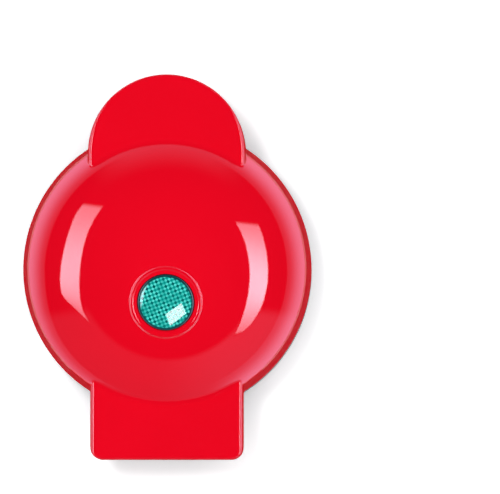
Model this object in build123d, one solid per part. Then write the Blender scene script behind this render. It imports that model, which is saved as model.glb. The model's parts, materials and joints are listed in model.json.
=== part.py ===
from build123d import *
import math
import os

# Mini waffle maker with a domed, hinged lid. Millimetres, +Z up, hinge at +Y, handle at -Y.
# The origin is on the ground under the middle of the round body.

# Case outline, seen from above
RIM_RADIUS = 63.0           # lower edge of the lid
SKIRT_LEAN = 2.3            # how far the lid's skirt leans in up to the crease
HOOD_RADIUS = 34.4          # round end of the hinge hood
HOOD_SINK = 12.7            # from the rim in to the middle of the hood's round end
TAB_HALF_WIDTH = 33.4       # handle tab of the lid
TAB_OVERHANG = 20.2         # from the rim out to the tab's front edge
TAB_CORNER = 5.3
BASE_LEAN_IN = 0.1          # base wall set in from the lid's rim
BASE_LEAN = 0.2             # base wall leaning in towards the ground
BASE_TAB_INSET = 1.4        # sides of the lower tab inside the upper one's
TAB_LIP = 6.6               # upper tab's front edge beyond the lower one's
BASE_BACK_CUT = 4.4         # flat rear wall of the base inside the rim
BASE_BACK_INSET = 1.4       # sides of the rear wall inside the hood's
BASE_BACK_CORNER = 6.0

# Case heights
FOOT_HEIGHT = 4.0
BASE_HEIGHT = 32.0
PARTING_GAP = 1.0           # between the rims of base and lid
LID_SKIRT = 10.85           # rim to crease
DOME_RISE = 22.15           # crease to the top of the dome
HOOD_HEIGHT = 15.2
TAB_HEIGHT = 12.8
BASE_TAB_DEPTH = 14.0
WALL = 2.2

# Rounded edges of the case
CREASE_ROUND = 1.6
TOP_EDGE = 2.6
BOTTOM_EDGE = 3.0
BASE_TAB_EDGE = 2.5

# Clearances
CASE_FIT = 0.1              # liner inside a shell
HOLE_FIT = 0.3              # screw or lens inside its hole
PIN_FIT = 0.05              # hinge pin turning in a base knuckle
PLATE_FIT = 0.3             # plate inside its opening
HINGE_SIDE_GAP = 0.4        # along the hinge, between knuckle and barrel

# Liners that carry the plates
FRAME_FLOOR = 2.2
LEDGE = 2.0                 # thickness of the ledge under a plate's flange
LEDGE_WIDTH = 2.3
FRAME_RIM = 2.2             # wall round the plate opening

# Cast plates; heights are counted from the cooking face towards the back
PLATE_GAP = 0.4             # between the two cooking faces
PLATE_SURROUND = 10.5       # from the plate's edge out to the rim
PLATE_FLANGE = 2.5
HEART_MARGIN = 11.0         # from the heart's outer circle to the plate's edge
HEART_REACH = 0.8918        # from the heart's tip to the middle of that circle, in sides of its square
POCKET_DEPTH = 8.0
POCKET_DRAFT = 8.0          # degrees
PAN_WALL = 2.5
STUD_PITCH = 14.0
STUD_SIZE = 9.0
STUD_DRAFT = 8.0            # degrees
STUD_HEIGHT = 5.0
STUD_EDGE_GAP = 2.4         # channel between the outer studs and the pocket's wall
STUD_LEAST_AREA = 12.0      # smaller cut-off studs are left out
PLATE_BOSS_RADIUS = 3.2
PLATE_BOSS_INSET = 6.5      # screw circle inside the plate's edge
PLATE_BOSS_ANGLES = (-57, -123, 65, 115)

# Tubular heating elements and their reflectors
ELEMENT_RADIUS = 3.25
ELEMENT_LOOP = 24.0
ELEMENT_LEAD_X = 6.0
ELEMENT_BEND = 6.0
ELEMENT_END_INSET = 12.5    # end of the sheath inside the plate's edge
ELEMENT_RIB = 3.5           # height of the cast rib that holds the element
ELEMENT_RIB_SIDE = 1.8
ELEMENT_PIN_RADIUS = 1.25
ELEMENT_PIN_LENGTH = 8.0
SHEET = 0.6                 # reflector sheet
REFLECTOR_GAP = 0.5         # reflector inside the ledge's opening
REFLECTOR_LIP = 2.2
REFLECTOR_STEP = 12.0       # width of the flat step that the screws hold
REFLECTOR_SLOPE = 4.0
REFLECTOR_CLEARANCE = 0.6   # over the element
REFLECTOR_WINDOW = 14.0     # half width of the rear cut-out for the leads
REFLECTOR_WINDOW_GAP = 4.0  # from the element's loop back to the cut-out
REFLECTOR_HOLE = 17.5

# Hinge
PIVOT_RISE = 2.0            # pivot above the lid's lower edge
PIVOT_GAP = 1.4             # between the base's rear wall and the knuckles
KNUCKLE_RADIUS = 4.4
KNUCKLE_INNER_X = 13.0
KNUCKLE_OUTER_X = 18.0
BARREL_INSET = 8.4          # outer end of the lid's barrels inside the hood's half width
HINGE_PIN_RADIUS = 2.0
HINGE_BLOCK_DEPTH = 5.6     # how far the hinge block reaches down the base's rear wall
HINGE_BLOCK_LENGTH = 4.6
HINGE_NOTCH_GAP = 2.5       # liner's notch in front of the knuckles
HINGE_LEAD_GAP = 2.5        # middle of the lead inside the knuckle's inner end
HINGE_LEAD_RADIUS = 1.8
LEAD_OVER_LINER = (8.6, 5.0)    # in front of and above the pivot
LEAD_OVER_STEP = 3.7            # above the reflector's step
LEAD_END = (9.0, 1.5)           # in front of the step's screws, above the reflector's floor
LEAD_DROP = (8.0, 20.0)         # bend and end of the lower lead under the base's rim

# Screws
SCREW_RADIUS = 1.5
SCREW_HEAD_RADIUS = 2.75
SCREW_HEAD = 2.0
SCREW_SOCKET = 1.0
SCREW_SOCKET_WIDTH = 2.4
SCREW_SEAT = 1.0            # liner left under a screw's head
SCREW_BITE = 8.0            # thread in a boss
BOSS_RADIUS = 3.2
TAB_SCREW_INSET = 6.4       # lid screws inside the tab's sides
HOOD_SCREW_INSET = 7.4      # and inside the hood's half width

# Indicator lens, on its own axis square to the dome
LENS_Y = -15.3
LENS_RADIUS = 12.5
LENS_FLANGE_RADIUS = 14.2
LENS_SEAT = 3.0             # depth of the seat under the dome's surface
LENS_FLANGE = 1.2
LENS_THICKNESS = 2.0
LENS_CROWN = 0.5
LENS_EDGE_SINK = 0.35       # edge of the lens below the dome
BEAD_RADIUS = 14.9
BEAD_SECTION = 0.9
BEAD_SINK = 0.35
COLLAR_WALL = 2.0
COLLAR_DEPTH = 7.0
RETAINER = 1.2
RETAINER_BORE = 10.6
LAMP_RADIUS = 2.6
LAMP_LENGTH = 12.0
LAMP_DEPTH = 8.4
CHEEK_X = 4.0
CHEEK = 1.2
CHEEK_MARGIN = 1.0
RESISTOR_RADIUS = 1.1
RESISTOR_LENGTH = 12.0
RESISTOR_OFFSET = -5.2

# Thermostat and thermal fuse on the back of the upper plate
THERMOSTAT_PAD = 2.5
THERMOSTAT_CAP_RADIUS = 8.8
THERMOSTAT_CAP = 3.5
THERMOSTAT_RADIUS = 7.6
THERMOSTAT_BODY = 7.5
BLADE_X = 4.0
BLADE_Y = 5.0
BLADE_SIZE = (3.2, 0.8, 4.0)
BRACKET = 0.8
BRACKET_SCREW_X = 13.0
BRACKET_WIDTH = 7.0
FUSE_OFFSET = 7.5           # fuse beyond the reflector's hole
FUSE_FRONT_Y = 3.0
FUSE_LENGTH = 12.0
FUSE_RADIUS = 2.0
FUSE_CLAMP_WIDTH = 6.0
FUSE_CLAMP_FOOT = 3.0

# Fixings and inner parts of the base
BASE_POST_INSET = 6.2       # base screws inside the rim
BASE_POST_ANGLES = (45, 135, 225, 315)
SCREW_WELL_RADIUS = 3.3
SCREW_WELL_DEPTH = 4.4
SCREW_WELL_WALL = 1.3
FOOT_INSET = 11.7           # feet inside the rim
FOOT_ANGLE = 57.0           # degrees from +X
FOOT_RADIUS = 6.0
FOOT_NECK_RADIUS = 2.5
FOOT_BARB_RADIUS = 3.2
FOOT_BARB = 1.8
GLAND_Z = 11.0
GLAND_BORE = 3.2
GLAND_NECK_RADIUS = 4.0
GLAND_FLANGE_RADIUS = 4.6
GLAND_FLANGE = 1.4
GLAND_SLEEVE = 8.0
GLAND_SLEEVE_END = 3.9
CLAMP_INSET = 8.1           # clamp in front of the rear wall
CLAMP_WIDTH = 4.0
CLAMP_THICKNESS = 2.4
CLAMP_HALF_LENGTH = 9.0
CLAMP_SCREW_X = 6.4
CLAMP_BOSS_RADIUS = 2.6
CLAMP_SCREW_RADIUS = 1.1
CLAMP_HEAD_RADIUS = 2.1
CLAMP_HEAD = 1.4
TERMINAL_HALF_WIDTH = 12.0
TERMINAL_INSET = 5.0        # block in front of the element's end
TERMINAL_DEPTH = 10.0
TERMINAL_HEIGHT = 6.4
TERMINAL_SCREW_X = 5.0
VENT_COUNT = 5
VENT_PITCH = 8.0
VENT_WIDTH = 3.0
VENT_LENGTH = 26.0
VENT_FIRST_Y = -28.0
WIRE_RADIUS = 0.8
WIRE_RUN = 6.0              # straight run of a wire before it turns
WIRE_RISE = 2.4             # lift of a wire over what lies beside it

# Sizes that follow
HOOD_CENTER_Y = RIM_RADIUS - HOOD_SINK
TAB_REACH = RIM_RADIUS + TAB_OVERHANG
BASE_TAB_HALF_WIDTH = TAB_HALF_WIDTH - BASE_TAB_INSET
BASE_TAB_REACH = TAB_REACH - TAB_LIP
BASE_BACK_Y = RIM_RADIUS - BASE_BACK_CUT
BASE_BACK_HALF_WIDTH = HOOD_RADIUS - BASE_BACK_INSET
CREASE_RADIUS = RIM_RADIUS - SKIRT_LEAN
BASE_BOTTOM = FOOT_HEIGHT
BASE_FLOOR = BASE_BOTTOM + WALL
BASE_TOP = BASE_BOTTOM + BASE_HEIGHT
LID_BOTTOM = BASE_TOP + PARTING_GAP
MEET_Z = BASE_TOP + PARTING_GAP / 2
CREASE_Z = LID_BOTTOM + LID_SKIRT
DOME_TOP = CREASE_Z + DOME_RISE
DOME_RADIUS = (CREASE_RADIUS ** 2 + DOME_RISE ** 2) / (2 * DOME_RISE)
DOME_CENTER_Z = DOME_TOP - DOME_RADIUS
BASE_RADIUS = RIM_RADIUS - BASE_LEAN_IN
BASE_TAB_BOTTOM = BASE_TOP - BASE_TAB_DEPTH
UPPER_FACE_Z = MEET_Z + PLATE_GAP / 2
PLATE_RADIUS = RIM_RADIUS - PLATE_SURROUND
HEART_SIDE = (PLATE_RADIUS - HEART_MARGIN) / HEART_REACH
PLATE_BOSS_CIRCLE = PLATE_RADIUS - PLATE_BOSS_INSET
ELEMENT_END_Y = PLATE_RADIUS - ELEMENT_END_INSET
PAN_BACK = POCKET_DEPTH + PAN_WALL
ELEMENT_HEIGHT = PAN_BACK + ELEMENT_RIB
REFLECTOR_LIP_HEIGHT = PLATE_FLANGE + LEDGE
BOSS_HEIGHT = PAN_BACK + HOLE_FIT
REFLECTOR_FLOOR_HEIGHT = ELEMENT_HEIGHT + ELEMENT_RADIUS + REFLECTOR_CLEARANCE
PLATE_OPENING = PLATE_RADIUS + PLATE_FIT
LEDGE_OPENING = PLATE_OPENING - LEDGE_WIDTH
REFLECTOR_RADIUS = LEDGE_OPENING - REFLECTOR_GAP
REFLECTOR_STEP_RADIUS = REFLECTOR_RADIUS - REFLECTOR_STEP
REFLECTOR_FLOOR_RADIUS = REFLECTOR_STEP_RADIUS - REFLECTOR_SLOPE
REFLECTOR_WINDOW_Y = ELEMENT_LOOP + REFLECTOR_WINDOW_GAP
FUSE_X = -REFLECTOR_HOLE - FUSE_OFFSET
PIVOT_Y = BASE_BACK_Y + PIVOT_GAP + KNUCKLE_RADIUS
PIVOT_Z = LID_BOTTOM + PIVOT_RISE
BARREL_OUTER_X = HOOD_RADIUS - BARREL_INSET
HINGE_NOTCH_Y = PIVOT_Y - KNUCKLE_RADIUS - HINGE_NOTCH_GAP
HINGE_LEAD_X = KNUCKLE_INNER_X - HINGE_LEAD_GAP
BASE_POST_CIRCLE = RIM_RADIUS - BASE_POST_INSET
CLAMP_Y = BASE_BACK_Y - CLAMP_INSET
TERMINAL_Y = ELEMENT_END_Y - TERMINAL_INSET
SCREW_HOLE = SCREW_RADIUS + HOLE_FIT / 2


def cylinder(radius, bottom, top, x=0.0, y=0.0):
    """Upright cylinder between two heights."""
    return Pos(x, y, bottom) * Cylinder(radius, top - bottom, align=(Align.CENTER, Align.CENTER, Align.MIN))


def lying(radius, start, length, x=0.0, z=0.0):
    """Cylinder along +Y from start."""
    turn = Rot(-90, 0, 0)
    return Pos(x, start, z) * turn * Cylinder(radius, length, align=(Align.CENTER, Align.CENTER, Align.MIN))


def crosswise(radius, start, end, y=0.0, z=0.0):
    """Cylinder along X between two places."""
    turn = Rot(0, 90, 0)
    rod = Cylinder(radius, end - start, align=(Align.CENTER, Align.CENTER, Align.MIN))
    return Pos(start, y, z) * turn * rod


def block(x0, x1, y0, y1, z0, z1):
    """Box between two corners."""
    return Pos(x0, y0, z0) * Box(x1 - x0, y1 - y0, z1 - z0, align=(Align.MIN, Align.MIN, Align.MIN))


def turned(*points):
    """Solid turned about Z from a section of (radius, height) points."""
    return revolve(make_face(Polyline(*[(r, 0, z) for r, z in points], close=True)), Axis.Z)


def upright(plan, bottom, top):
    """Plan drawn on the ground, raised between two heights."""
    return Pos(0, 0, bottom) * extrude(plan, top - bottom)


def group(pieces):
    """Separate solids kept together in one node."""
    return Compound(children=[solid for piece in pieces for solid in piece.solids()])


def wire(radius, *points):
    """Round wire along straight runs joined by arcs as large as the runs allow."""
    places = [Vector(*point) for point in points]
    radii = []
    for before, here, after in zip(places, places[1:], places[2:]):
        turn = math.radians((here - before).get_angle(after - here))
        shorter = min((here - before).length, (after - here).length)
        radii.append(0.45 * shorter / math.tan(turn / 2))
    path = FilletPolyline(*places, radius=radii)
    solid = sweep(Plane(path @ 0, z_dir=path % 0) * Circle(radius), path)
    spent = math.pi * radius ** 2 * path.length
    print(f"wire r {radius}: arcs {[round(r, 1) for r in radii]}, volume {solid.volume:.1f} of {spent:.1f}")
    return solid


def to_base(shape):
    """Turns a piece of the upper cooking plate's set over, onto the lower one's place."""
    return mirror(shape, about=Plane.XY.offset(MEET_Z))


def back_of_plate(shape):
    """Moves a piece drawn from the cooking face onto the upper plate's place."""
    return Pos(0, 0, UPPER_FACE_Z) * shape


# Case


def lid_forms(inset):
    """Dome with its skirt, hinge hood and handle tab of the lid, each drawn in by inset."""
    height = DOME_TOP - LID_BOTTOM
    low = RIM_RADIUS - inset
    high = low - SKIRT_LEAN / LID_SKIRT * height
    skirt = Pos(0, 0, LID_BOTTOM) * Cone(low, high, height, align=(Align.CENTER, Align.CENTER, Align.MIN))
    dome = skirt & (Pos(0, 0, DOME_CENTER_Z) * Sphere(DOME_RADIUS - inset))
    crease = dome.edges().filter_by(lambda edge: edge.is_closed).sort_by(Axis.Z)[-1]
    dome = fillet(crease, CREASE_ROUND)

    hood_half = HOOD_RADIUS - inset
    hood_plan = Pos(0, HOOD_CENTER_Y) * Circle(hood_half)
    hood_plan += Pos(0, HOOD_CENTER_Y / 2) * Rectangle(2 * hood_half, HOOD_CENTER_Y)
    hood = upright(hood_plan, LID_BOTTOM, LID_BOTTOM + HOOD_HEIGHT - inset)
    hood = fillet(hood.faces().sort_by(Axis.Z)[-1].edges(), TOP_EDGE)

    tab_length = TAB_REACH - inset
    tab_plan = Pos(0, -tab_length / 2) * RectangleRounded(
        2 * (TAB_HALF_WIDTH - inset), tab_length, TAB_CORNER - inset)
    tab = upright(tab_plan, LID_BOTTOM, LID_BOTTOM + TAB_HEIGHT - inset)
    tab = fillet(tab.faces().sort_by(Axis.Z)[-1].edges(), TOP_EDGE)
    return dome, hood, tab


def lid_form(inset):
    """Outline of the whole lid drawn in by inset."""
    dome, hood, tab = lid_forms(inset)
    return hood + tab + dome


def base_form(inset, floor, top=BASE_TOP):
    """Outline of the base drawn in by inset: round body, handle tab and flat rear."""
    low = BASE_RADIUS - BASE_LEAN - inset
    high = BASE_RADIUS - inset
    body = Pos(0, 0, floor) * Cone(low, high, top - floor, align=(Align.CENTER, Align.CENTER, Align.MIN))
    rear_length = BASE_BACK_Y - inset
    rear_plan = Pos(0, rear_length / 2) * RectangleRounded(
        2 * (BASE_BACK_HALF_WIDTH - inset), rear_length, BASE_BACK_CORNER - inset)
    body += upright(rear_plan, floor, top)
    body -= block(-RIM_RADIUS, RIM_RADIUS, rear_length, 2 * RIM_RADIUS, floor, top)
    return body


def base_tab_form(inset, top=BASE_TOP):
    """Lower handle tab drawn in by inset."""
    length = BASE_TAB_REACH - inset
    plan = Pos(0, -length / 2) * RectangleRounded(
        2 * (BASE_TAB_HALF_WIDTH - inset), length, TAB_CORNER - inset)
    return upright(plan, BASE_TAB_BOTTOM + inset, top)


LENS_DIRECTION = Vector(0, LENS_Y, math.sqrt(DOME_RADIUS ** 2 - LENS_Y ** 2)) / DOME_RADIUS
LENS_PLACE = Plane(Vector(0, 0, DOME_CENTER_Z) + LENS_DIRECTION * DOME_RADIUS,
                   x_dir=(1, 0, 0), z_dir=LENS_DIRECTION).location
LID_SCREWS = [(side * x, y)
              for x, y in ((TAB_HALF_WIDTH - TAB_SCREW_INSET, -TAB_REACH + WALL + 2 * BOSS_RADIUS),
                           (HOOD_RADIUS - HOOD_SCREW_INSET, HOOD_CENTER_Y + BOSS_RADIUS))
              for side in (-1, 1)]
FRAME_BACK_Z = LID_BOTTOM + FRAME_FLOOR
LID_SCREW_BITE = TAB_HEIGHT - FRAME_FLOOR - 2 * WALL


def dome_depth(radius):
    """How far the dome's surface lies under the lens axis' foot, at a radius from that axis."""
    return DOME_RADIUS - math.sqrt(DOME_RADIUS ** 2 - radius ** 2)


def make_lid_shell():
    outline = lid_form(0)
    shell = outline
    for form in lid_forms(WALL):
        shell -= form
    for x, y in LID_SCREWS:
        shell += outline & cylinder(BOSS_RADIUS, FRAME_BACK_Z, DOME_TOP, x, y)
    collar_radius = LENS_FLANGE_RADIUS + HOLE_FIT / 2 + COLLAR_WALL
    collar = cylinder(collar_radius, -COLLAR_DEPTH, -dome_depth(collar_radius) - WALL / 2)
    shell += LENS_PLACE * collar
    shell += LENS_PLACE * Pos(0, 0, -dome_depth(BEAD_RADIUS) - BEAD_SINK) * Torus(BEAD_RADIUS, BEAD_SECTION)
    shell -= LENS_PLACE * cylinder(LENS_RADIUS + HOLE_FIT / 2, -COLLAR_DEPTH, WALL)
    shell -= LENS_PLACE * cylinder(LENS_FLANGE_RADIUS + HOLE_FIT / 2, -COLLAR_DEPTH - WALL, -LENS_SEAT)
    for x, y in LID_SCREWS:
        shell -= cylinder(SCREW_RADIUS, FRAME_BACK_Z, FRAME_BACK_Z + LID_SCREW_BITE, x, y)
    return shell


def make_lid_frame():
    slab = block(-2 * RIM_RADIUS, 2 * RIM_RADIUS, -2 * RIM_RADIUS, 2 * RIM_RADIUS, LID_BOTTOM, FRAME_BACK_Z)
    frame = lid_form(WALL + CASE_FIT) & slab
    ledge_z = UPPER_FACE_Z + PLATE_FLANGE
    frame += cylinder(PLATE_OPENING + FRAME_RIM, LID_BOTTOM, ledge_z + LEDGE)
    frame -= cylinder(PLATE_OPENING, LID_BOTTOM, ledge_z)
    frame -= cylinder(LEDGE_OPENING, ledge_z, ledge_z + LEDGE)
    notch_half = KNUCKLE_OUTER_X + HINGE_SIDE_GAP
    frame -= block(-notch_half, notch_half, HINGE_NOTCH_Y, 2 * RIM_RADIUS, LID_BOTTOM, FRAME_BACK_Z)
    for side in (-1, 1):
        ends = sorted((side * notch_half, side * BARREL_OUTER_X))
        frame += crosswise(KNUCKLE_RADIUS, *ends, PIVOT_Y, PIVOT_Z)
        frame -= crosswise(HINGE_PIN_RADIUS, *ends, PIVOT_Y, PIVOT_Z)
    for x, y in LID_SCREWS:
        frame -= cylinder(SCREW_HOLE, LID_BOTTOM, FRAME_BACK_Z, x, y)
        frame -= cylinder(SCREW_HEAD_RADIUS + HOLE_FIT, LID_BOTTOM, FRAME_BACK_Z - SCREW_SEAT, x, y)
    return frame


def screw(length, flat_head=SCREW_HEAD):
    """Screw along -Z with its head from z 0 up and a socket in the head."""
    head = cylinder(SCREW_HEAD_RADIUS, 0, flat_head)
    head -= Pos(0, 0, flat_head - SCREW_SOCKET / 2) * Box(
        SCREW_SOCKET_WIDTH, SCREW_SOCKET_WIDTH / 3, SCREW_SOCKET)
    head -= Pos(0, 0, flat_head - SCREW_SOCKET / 2) * Box(
        SCREW_SOCKET_WIDTH / 3, SCREW_SOCKET_WIDTH, SCREW_SOCKET)
    return head + cylinder(SCREW_RADIUS, -length, 0)


def make_lid_frame_screws():
    """Four screws up through the liner into the lid's bosses."""
    upward = Rot(180, 0, 0) * screw(SCREW_SEAT + LID_SCREW_BITE, FRAME_FLOOR - SCREW_SEAT)
    return group([Pos(x, y, FRAME_BACK_Z - SCREW_SEAT) * upward for x, y in LID_SCREWS])


# Cooking plates, drawn with the cooking face at z 0 and the back upwards


def heart(grow=0.0):
    """Heart drawn on a square that stands on its corner, with a half round on two sides."""
    half_diagonal = HEART_SIDE / math.sqrt(2)
    tip_y = -HEART_REACH * HEART_SIDE
    plan = Pos(0, tip_y + half_diagonal) * Rot(0, 0, 45) * Rectangle(HEART_SIDE, HEART_SIDE)
    for side in (-1, 1):
        plan += Pos(side * half_diagonal / 2, tip_y + 1.5 * half_diagonal) * Circle(HEART_SIDE / 2)
    return offset(plan, grow) if grow else plan


def make_studs():
    """Tapered square studs on the heart's grid, cut off short of the pocket's wall."""
    tip_y = -HEART_REACH * HEART_SIDE
    count = math.ceil(1.5 * HEART_SIDE / STUD_PITCH)
    allowed = upright(heart(-STUD_EDGE_GAP), 0, POCKET_DEPTH)
    top_size = STUD_SIZE - 2 * STUD_HEIGHT * math.tan(math.radians(STUD_DRAFT))
    studs = []
    for row in range(count):
        for column in range(count):
            across = (column + 0.5) * STUD_PITCH
            along = (row + 0.5) * STUD_PITCH
            x = (across - along) / math.sqrt(2)
            y = tip_y + (across + along) / math.sqrt(2)
            wide = Pos(x, y, POCKET_DEPTH) * Rot(0, 0, 45) * Rectangle(STUD_SIZE, STUD_SIZE)
            narrow = Pos(x, y, POCKET_DEPTH - STUD_HEIGHT) * Rot(0, 0, 45) * Rectangle(top_size, top_size)
            cut = loft([narrow.face(), wide.face()]) & allowed
            studs += [solid for solid in cut.solids()
                      if solid.volume > STUD_LEAST_AREA * STUD_HEIGHT]
    return studs


def omega_path(height):
    """Centre line of a heating element: a loop with two leads towards +Y."""
    centre_x = ELEMENT_LEAD_X + ELEMENT_BEND
    reach = ELEMENT_LOOP + ELEMENT_BEND
    centre_y = math.sqrt(reach ** 2 - centre_x ** 2)
    touch = (centre_x * ELEMENT_LOOP / reach, centre_y * ELEMENT_LOOP / reach)
    edges = []
    for side in (1, -1):
        lead_end = (side * ELEMENT_LEAD_X, ELEMENT_END_Y, height)
        bend_start = (side * ELEMENT_LEAD_X, centre_y, height)
        toward = math.atan2(touch[1] - centre_y, touch[0] - centre_x)
        middle = (math.pi - toward) / 2 + toward - math.pi if toward > 0 else (toward - math.pi) / 2
        bend_middle = (side * (centre_x + ELEMENT_BEND * math.cos(middle)),
                       centre_y + ELEMENT_BEND * math.sin(middle), height)
        bend_end = (side * touch[0], touch[1], height)
        edges.append(Line(lead_end, bend_start))
        edges.append(ThreePointArc(bend_start, bend_middle, bend_end))
    loop_start = (touch[0], touch[1], height)
    loop_end = (-touch[0], touch[1], height)
    edges.append(ThreePointArc(loop_start, (0, -ELEMENT_LOOP, height), loop_end))
    right_lead, right_bend, left_lead, left_bend, loop = edges
    return Wire([right_lead.edge(), right_bend.edge(), loop.edge(), left_bend.edge(), left_lead.edge()])


def omega_tube(radius, height):
    """Round tube along a heating element's centre line."""
    path = omega_path(height)
    start = Plane((ELEMENT_LEAD_X, ELEMENT_END_Y, height), x_dir=(1, 0, 0), z_dir=(0, -1, 0))
    return sweep(start * Circle(radius), path)


def make_plate():
    plate = cylinder(PLATE_RADIUS, 0, PLATE_FLANGE)
    plate += upright(heart(PAN_WALL), 0, PAN_BACK)
    rib_half = ELEMENT_RADIUS + ELEMENT_RIB_SIDE
    plate += cylinder(ELEMENT_LOOP + rib_half, PAN_BACK - PAN_WALL / 2, ELEMENT_HEIGHT) - cylinder(
        ELEMENT_LOOP - rib_half, PAN_BACK - PAN_WALL / 2, ELEMENT_HEIGHT)
    for angle in PLATE_BOSS_ANGLES:
        plate += cylinder(PLATE_BOSS_RADIUS, 0, BOSS_HEIGHT, *on_circle(PLATE_BOSS_CIRCLE, angle))
    plate += cylinder(THERMOSTAT_CAP_RADIUS, PAN_BACK - PAN_WALL / 2, PAN_BACK + THERMOSTAT_PAD)
    for side in (-1, 1):
        plate += cylinder(BOSS_RADIUS, PAN_BACK - PAN_WALL / 2, BRACKET_SEAT, side * BRACKET_SCREW_X)
    plate -= extrude(heart(), POCKET_DEPTH, taper=POCKET_DRAFT)
    for stud in make_studs():
        plate += stud
    for side in (-1, 1):
        plate -= cylinder(SCREW_RADIUS, PAN_BACK, BRACKET_SEAT, side * BRACKET_SCREW_X)
    plate -= omega_tube(ELEMENT_RADIUS, ELEMENT_HEIGHT)
    for angle in PLATE_BOSS_ANGLES:
        hole_top = BOSS_HEIGHT + SHEET
        plate -= cylinder(SCREW_RADIUS, hole_top - SHEET - SCREW_BITE, hole_top,
                          *on_circle(PLATE_BOSS_CIRCLE, angle))
    return plate


def on_circle(radius, degrees):
    """Place on a circle round the origin."""
    return radius * math.cos(math.radians(degrees)), radius * math.sin(math.radians(degrees))


BRACKET_SEAT = PAN_BACK + THERMOSTAT_PAD + THERMOSTAT_CAP


def make_element_pins():
    """Two terminal pins out of the element's ends."""
    return group([lying(ELEMENT_PIN_RADIUS, ELEMENT_END_Y, ELEMENT_PIN_LENGTH,
                        side * ELEMENT_LEAD_X, ELEMENT_HEIGHT) for side in (-1, 1)])


def make_reflector():
    """Sheet dish over the element, clamped under the ledge by the plate's screws."""
    low = REFLECTOR_LIP_HEIGHT
    step = BOSS_HEIGHT
    high = REFLECTOR_FLOOR_HEIGHT
    dish = turned((REFLECTOR_RADIUS - SHEET, low), (REFLECTOR_RADIUS + REFLECTOR_LIP, low),
                  (REFLECTOR_RADIUS + REFLECTOR_LIP, low + SHEET), (REFLECTOR_RADIUS, low + SHEET),
                  (REFLECTOR_RADIUS, step + SHEET), (REFLECTOR_STEP_RADIUS + SHEET, step + SHEET),
                  (REFLECTOR_FLOOR_RADIUS + SHEET, high + SHEET), (REFLECTOR_HOLE, high + SHEET),
                  (REFLECTOR_HOLE, high), (REFLECTOR_FLOOR_RADIUS, high),
                  (REFLECTOR_STEP_RADIUS, step), (REFLECTOR_RADIUS - SHEET, step))
    dish -= block(-REFLECTOR_WINDOW, REFLECTOR_WINDOW, REFLECTOR_WINDOW_Y, REFLECTOR_RADIUS + SHEET,
                  low + SHEET, high + 2 * SHEET)
    for angle in PLATE_BOSS_ANGLES:
        dish -= cylinder(SCREW_HOLE, step, step + SHEET, *on_circle(PLATE_BOSS_CIRCLE, angle))
    return dish


def make_plate_screws():
    """Screws through the reflector into the plate's bosses."""
    return group([Pos(*on_circle(PLATE_BOSS_CIRCLE, angle), BOSS_HEIGHT + SHEET) * screw(SCREW_BITE + SHEET)
                  for angle in PLATE_BOSS_ANGLES])


# Thermostat, fuse and lamp in the lid


def make_thermostat_cap():
    return cylinder(THERMOSTAT_CAP_RADIUS, PAN_BACK + THERMOSTAT_PAD, BRACKET_SEAT)


def make_thermostat_body():
    """Round body with two blades for the wires."""
    top = BRACKET_SEAT + THERMOSTAT_BODY
    body = cylinder(THERMOSTAT_RADIUS, BRACKET_SEAT, top)
    width, thickness, height = BLADE_SIZE
    for side in (-1, 1):
        body += block(side * BLADE_X - width / 2, side * BLADE_X + width / 2,
                      BLADE_Y - thickness / 2, BLADE_Y + thickness / 2, top - height, top + height)
    return body


def make_thermostat_bracket():
    """Strap over the cap's shoulder, screwed to two posts of the plate."""
    plan = SlotCenterToCenter(2 * BRACKET_SCREW_X, BRACKET_WIDTH)
    plan += Circle(THERMOSTAT_CAP_RADIUS)
    plan -= Circle(THERMOSTAT_RADIUS)
    for side in (-1, 1):
        plan -= Pos(side * BRACKET_SCREW_X, 0) * Circle(SCREW_HOLE)
    return upright(plan, BRACKET_SEAT, BRACKET_SEAT + BRACKET)


def make_thermostat_screws():
    length = BRACKET + BRACKET_SEAT - PAN_BACK
    return group([Pos(side * BRACKET_SCREW_X, 0, BRACKET_SEAT + BRACKET) * screw(length)
                  for side in (-1, 1)])


FUSE_Z = REFLECTOR_FLOOR_HEIGHT + SHEET + FUSE_RADIUS


def make_thermal_fuse():
    return lying(FUSE_RADIUS, FUSE_FRONT_Y, FUSE_LENGTH, FUSE_X, FUSE_Z)


def make_fuse_clamp():
    """Sheet strap that holds the fuse down on the reflector."""
    start = FUSE_FRONT_Y + (FUSE_LENGTH - FUSE_CLAMP_WIDTH) / 2
    outer = FUSE_RADIUS + SHEET
    floor = REFLECTOR_FLOOR_HEIGHT + SHEET
    strap = lying(outer, start, FUSE_CLAMP_WIDTH, FUSE_X, FUSE_Z)
    strap += block(FUSE_X - outer, FUSE_X + outer, start, start + FUSE_CLAMP_WIDTH, floor, FUSE_Z)
    strap += block(FUSE_X - outer - FUSE_CLAMP_FOOT, FUSE_X + outer + FUSE_CLAMP_FOOT,
                   start, start + FUSE_CLAMP_WIDTH, floor, floor + SHEET)
    strap -= lying(FUSE_RADIUS, start, FUSE_CLAMP_WIDTH, FUSE_X, FUSE_Z)
    strap -= block(FUSE_X - FUSE_RADIUS, FUSE_X + FUSE_RADIUS, start, start + FUSE_CLAMP_WIDTH, floor, FUSE_Z)
    strap -= block(FUSE_X - outer, FUSE_X + outer, start, start + FUSE_CLAMP_WIDTH, floor - SHEET, floor)
    return strap


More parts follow.
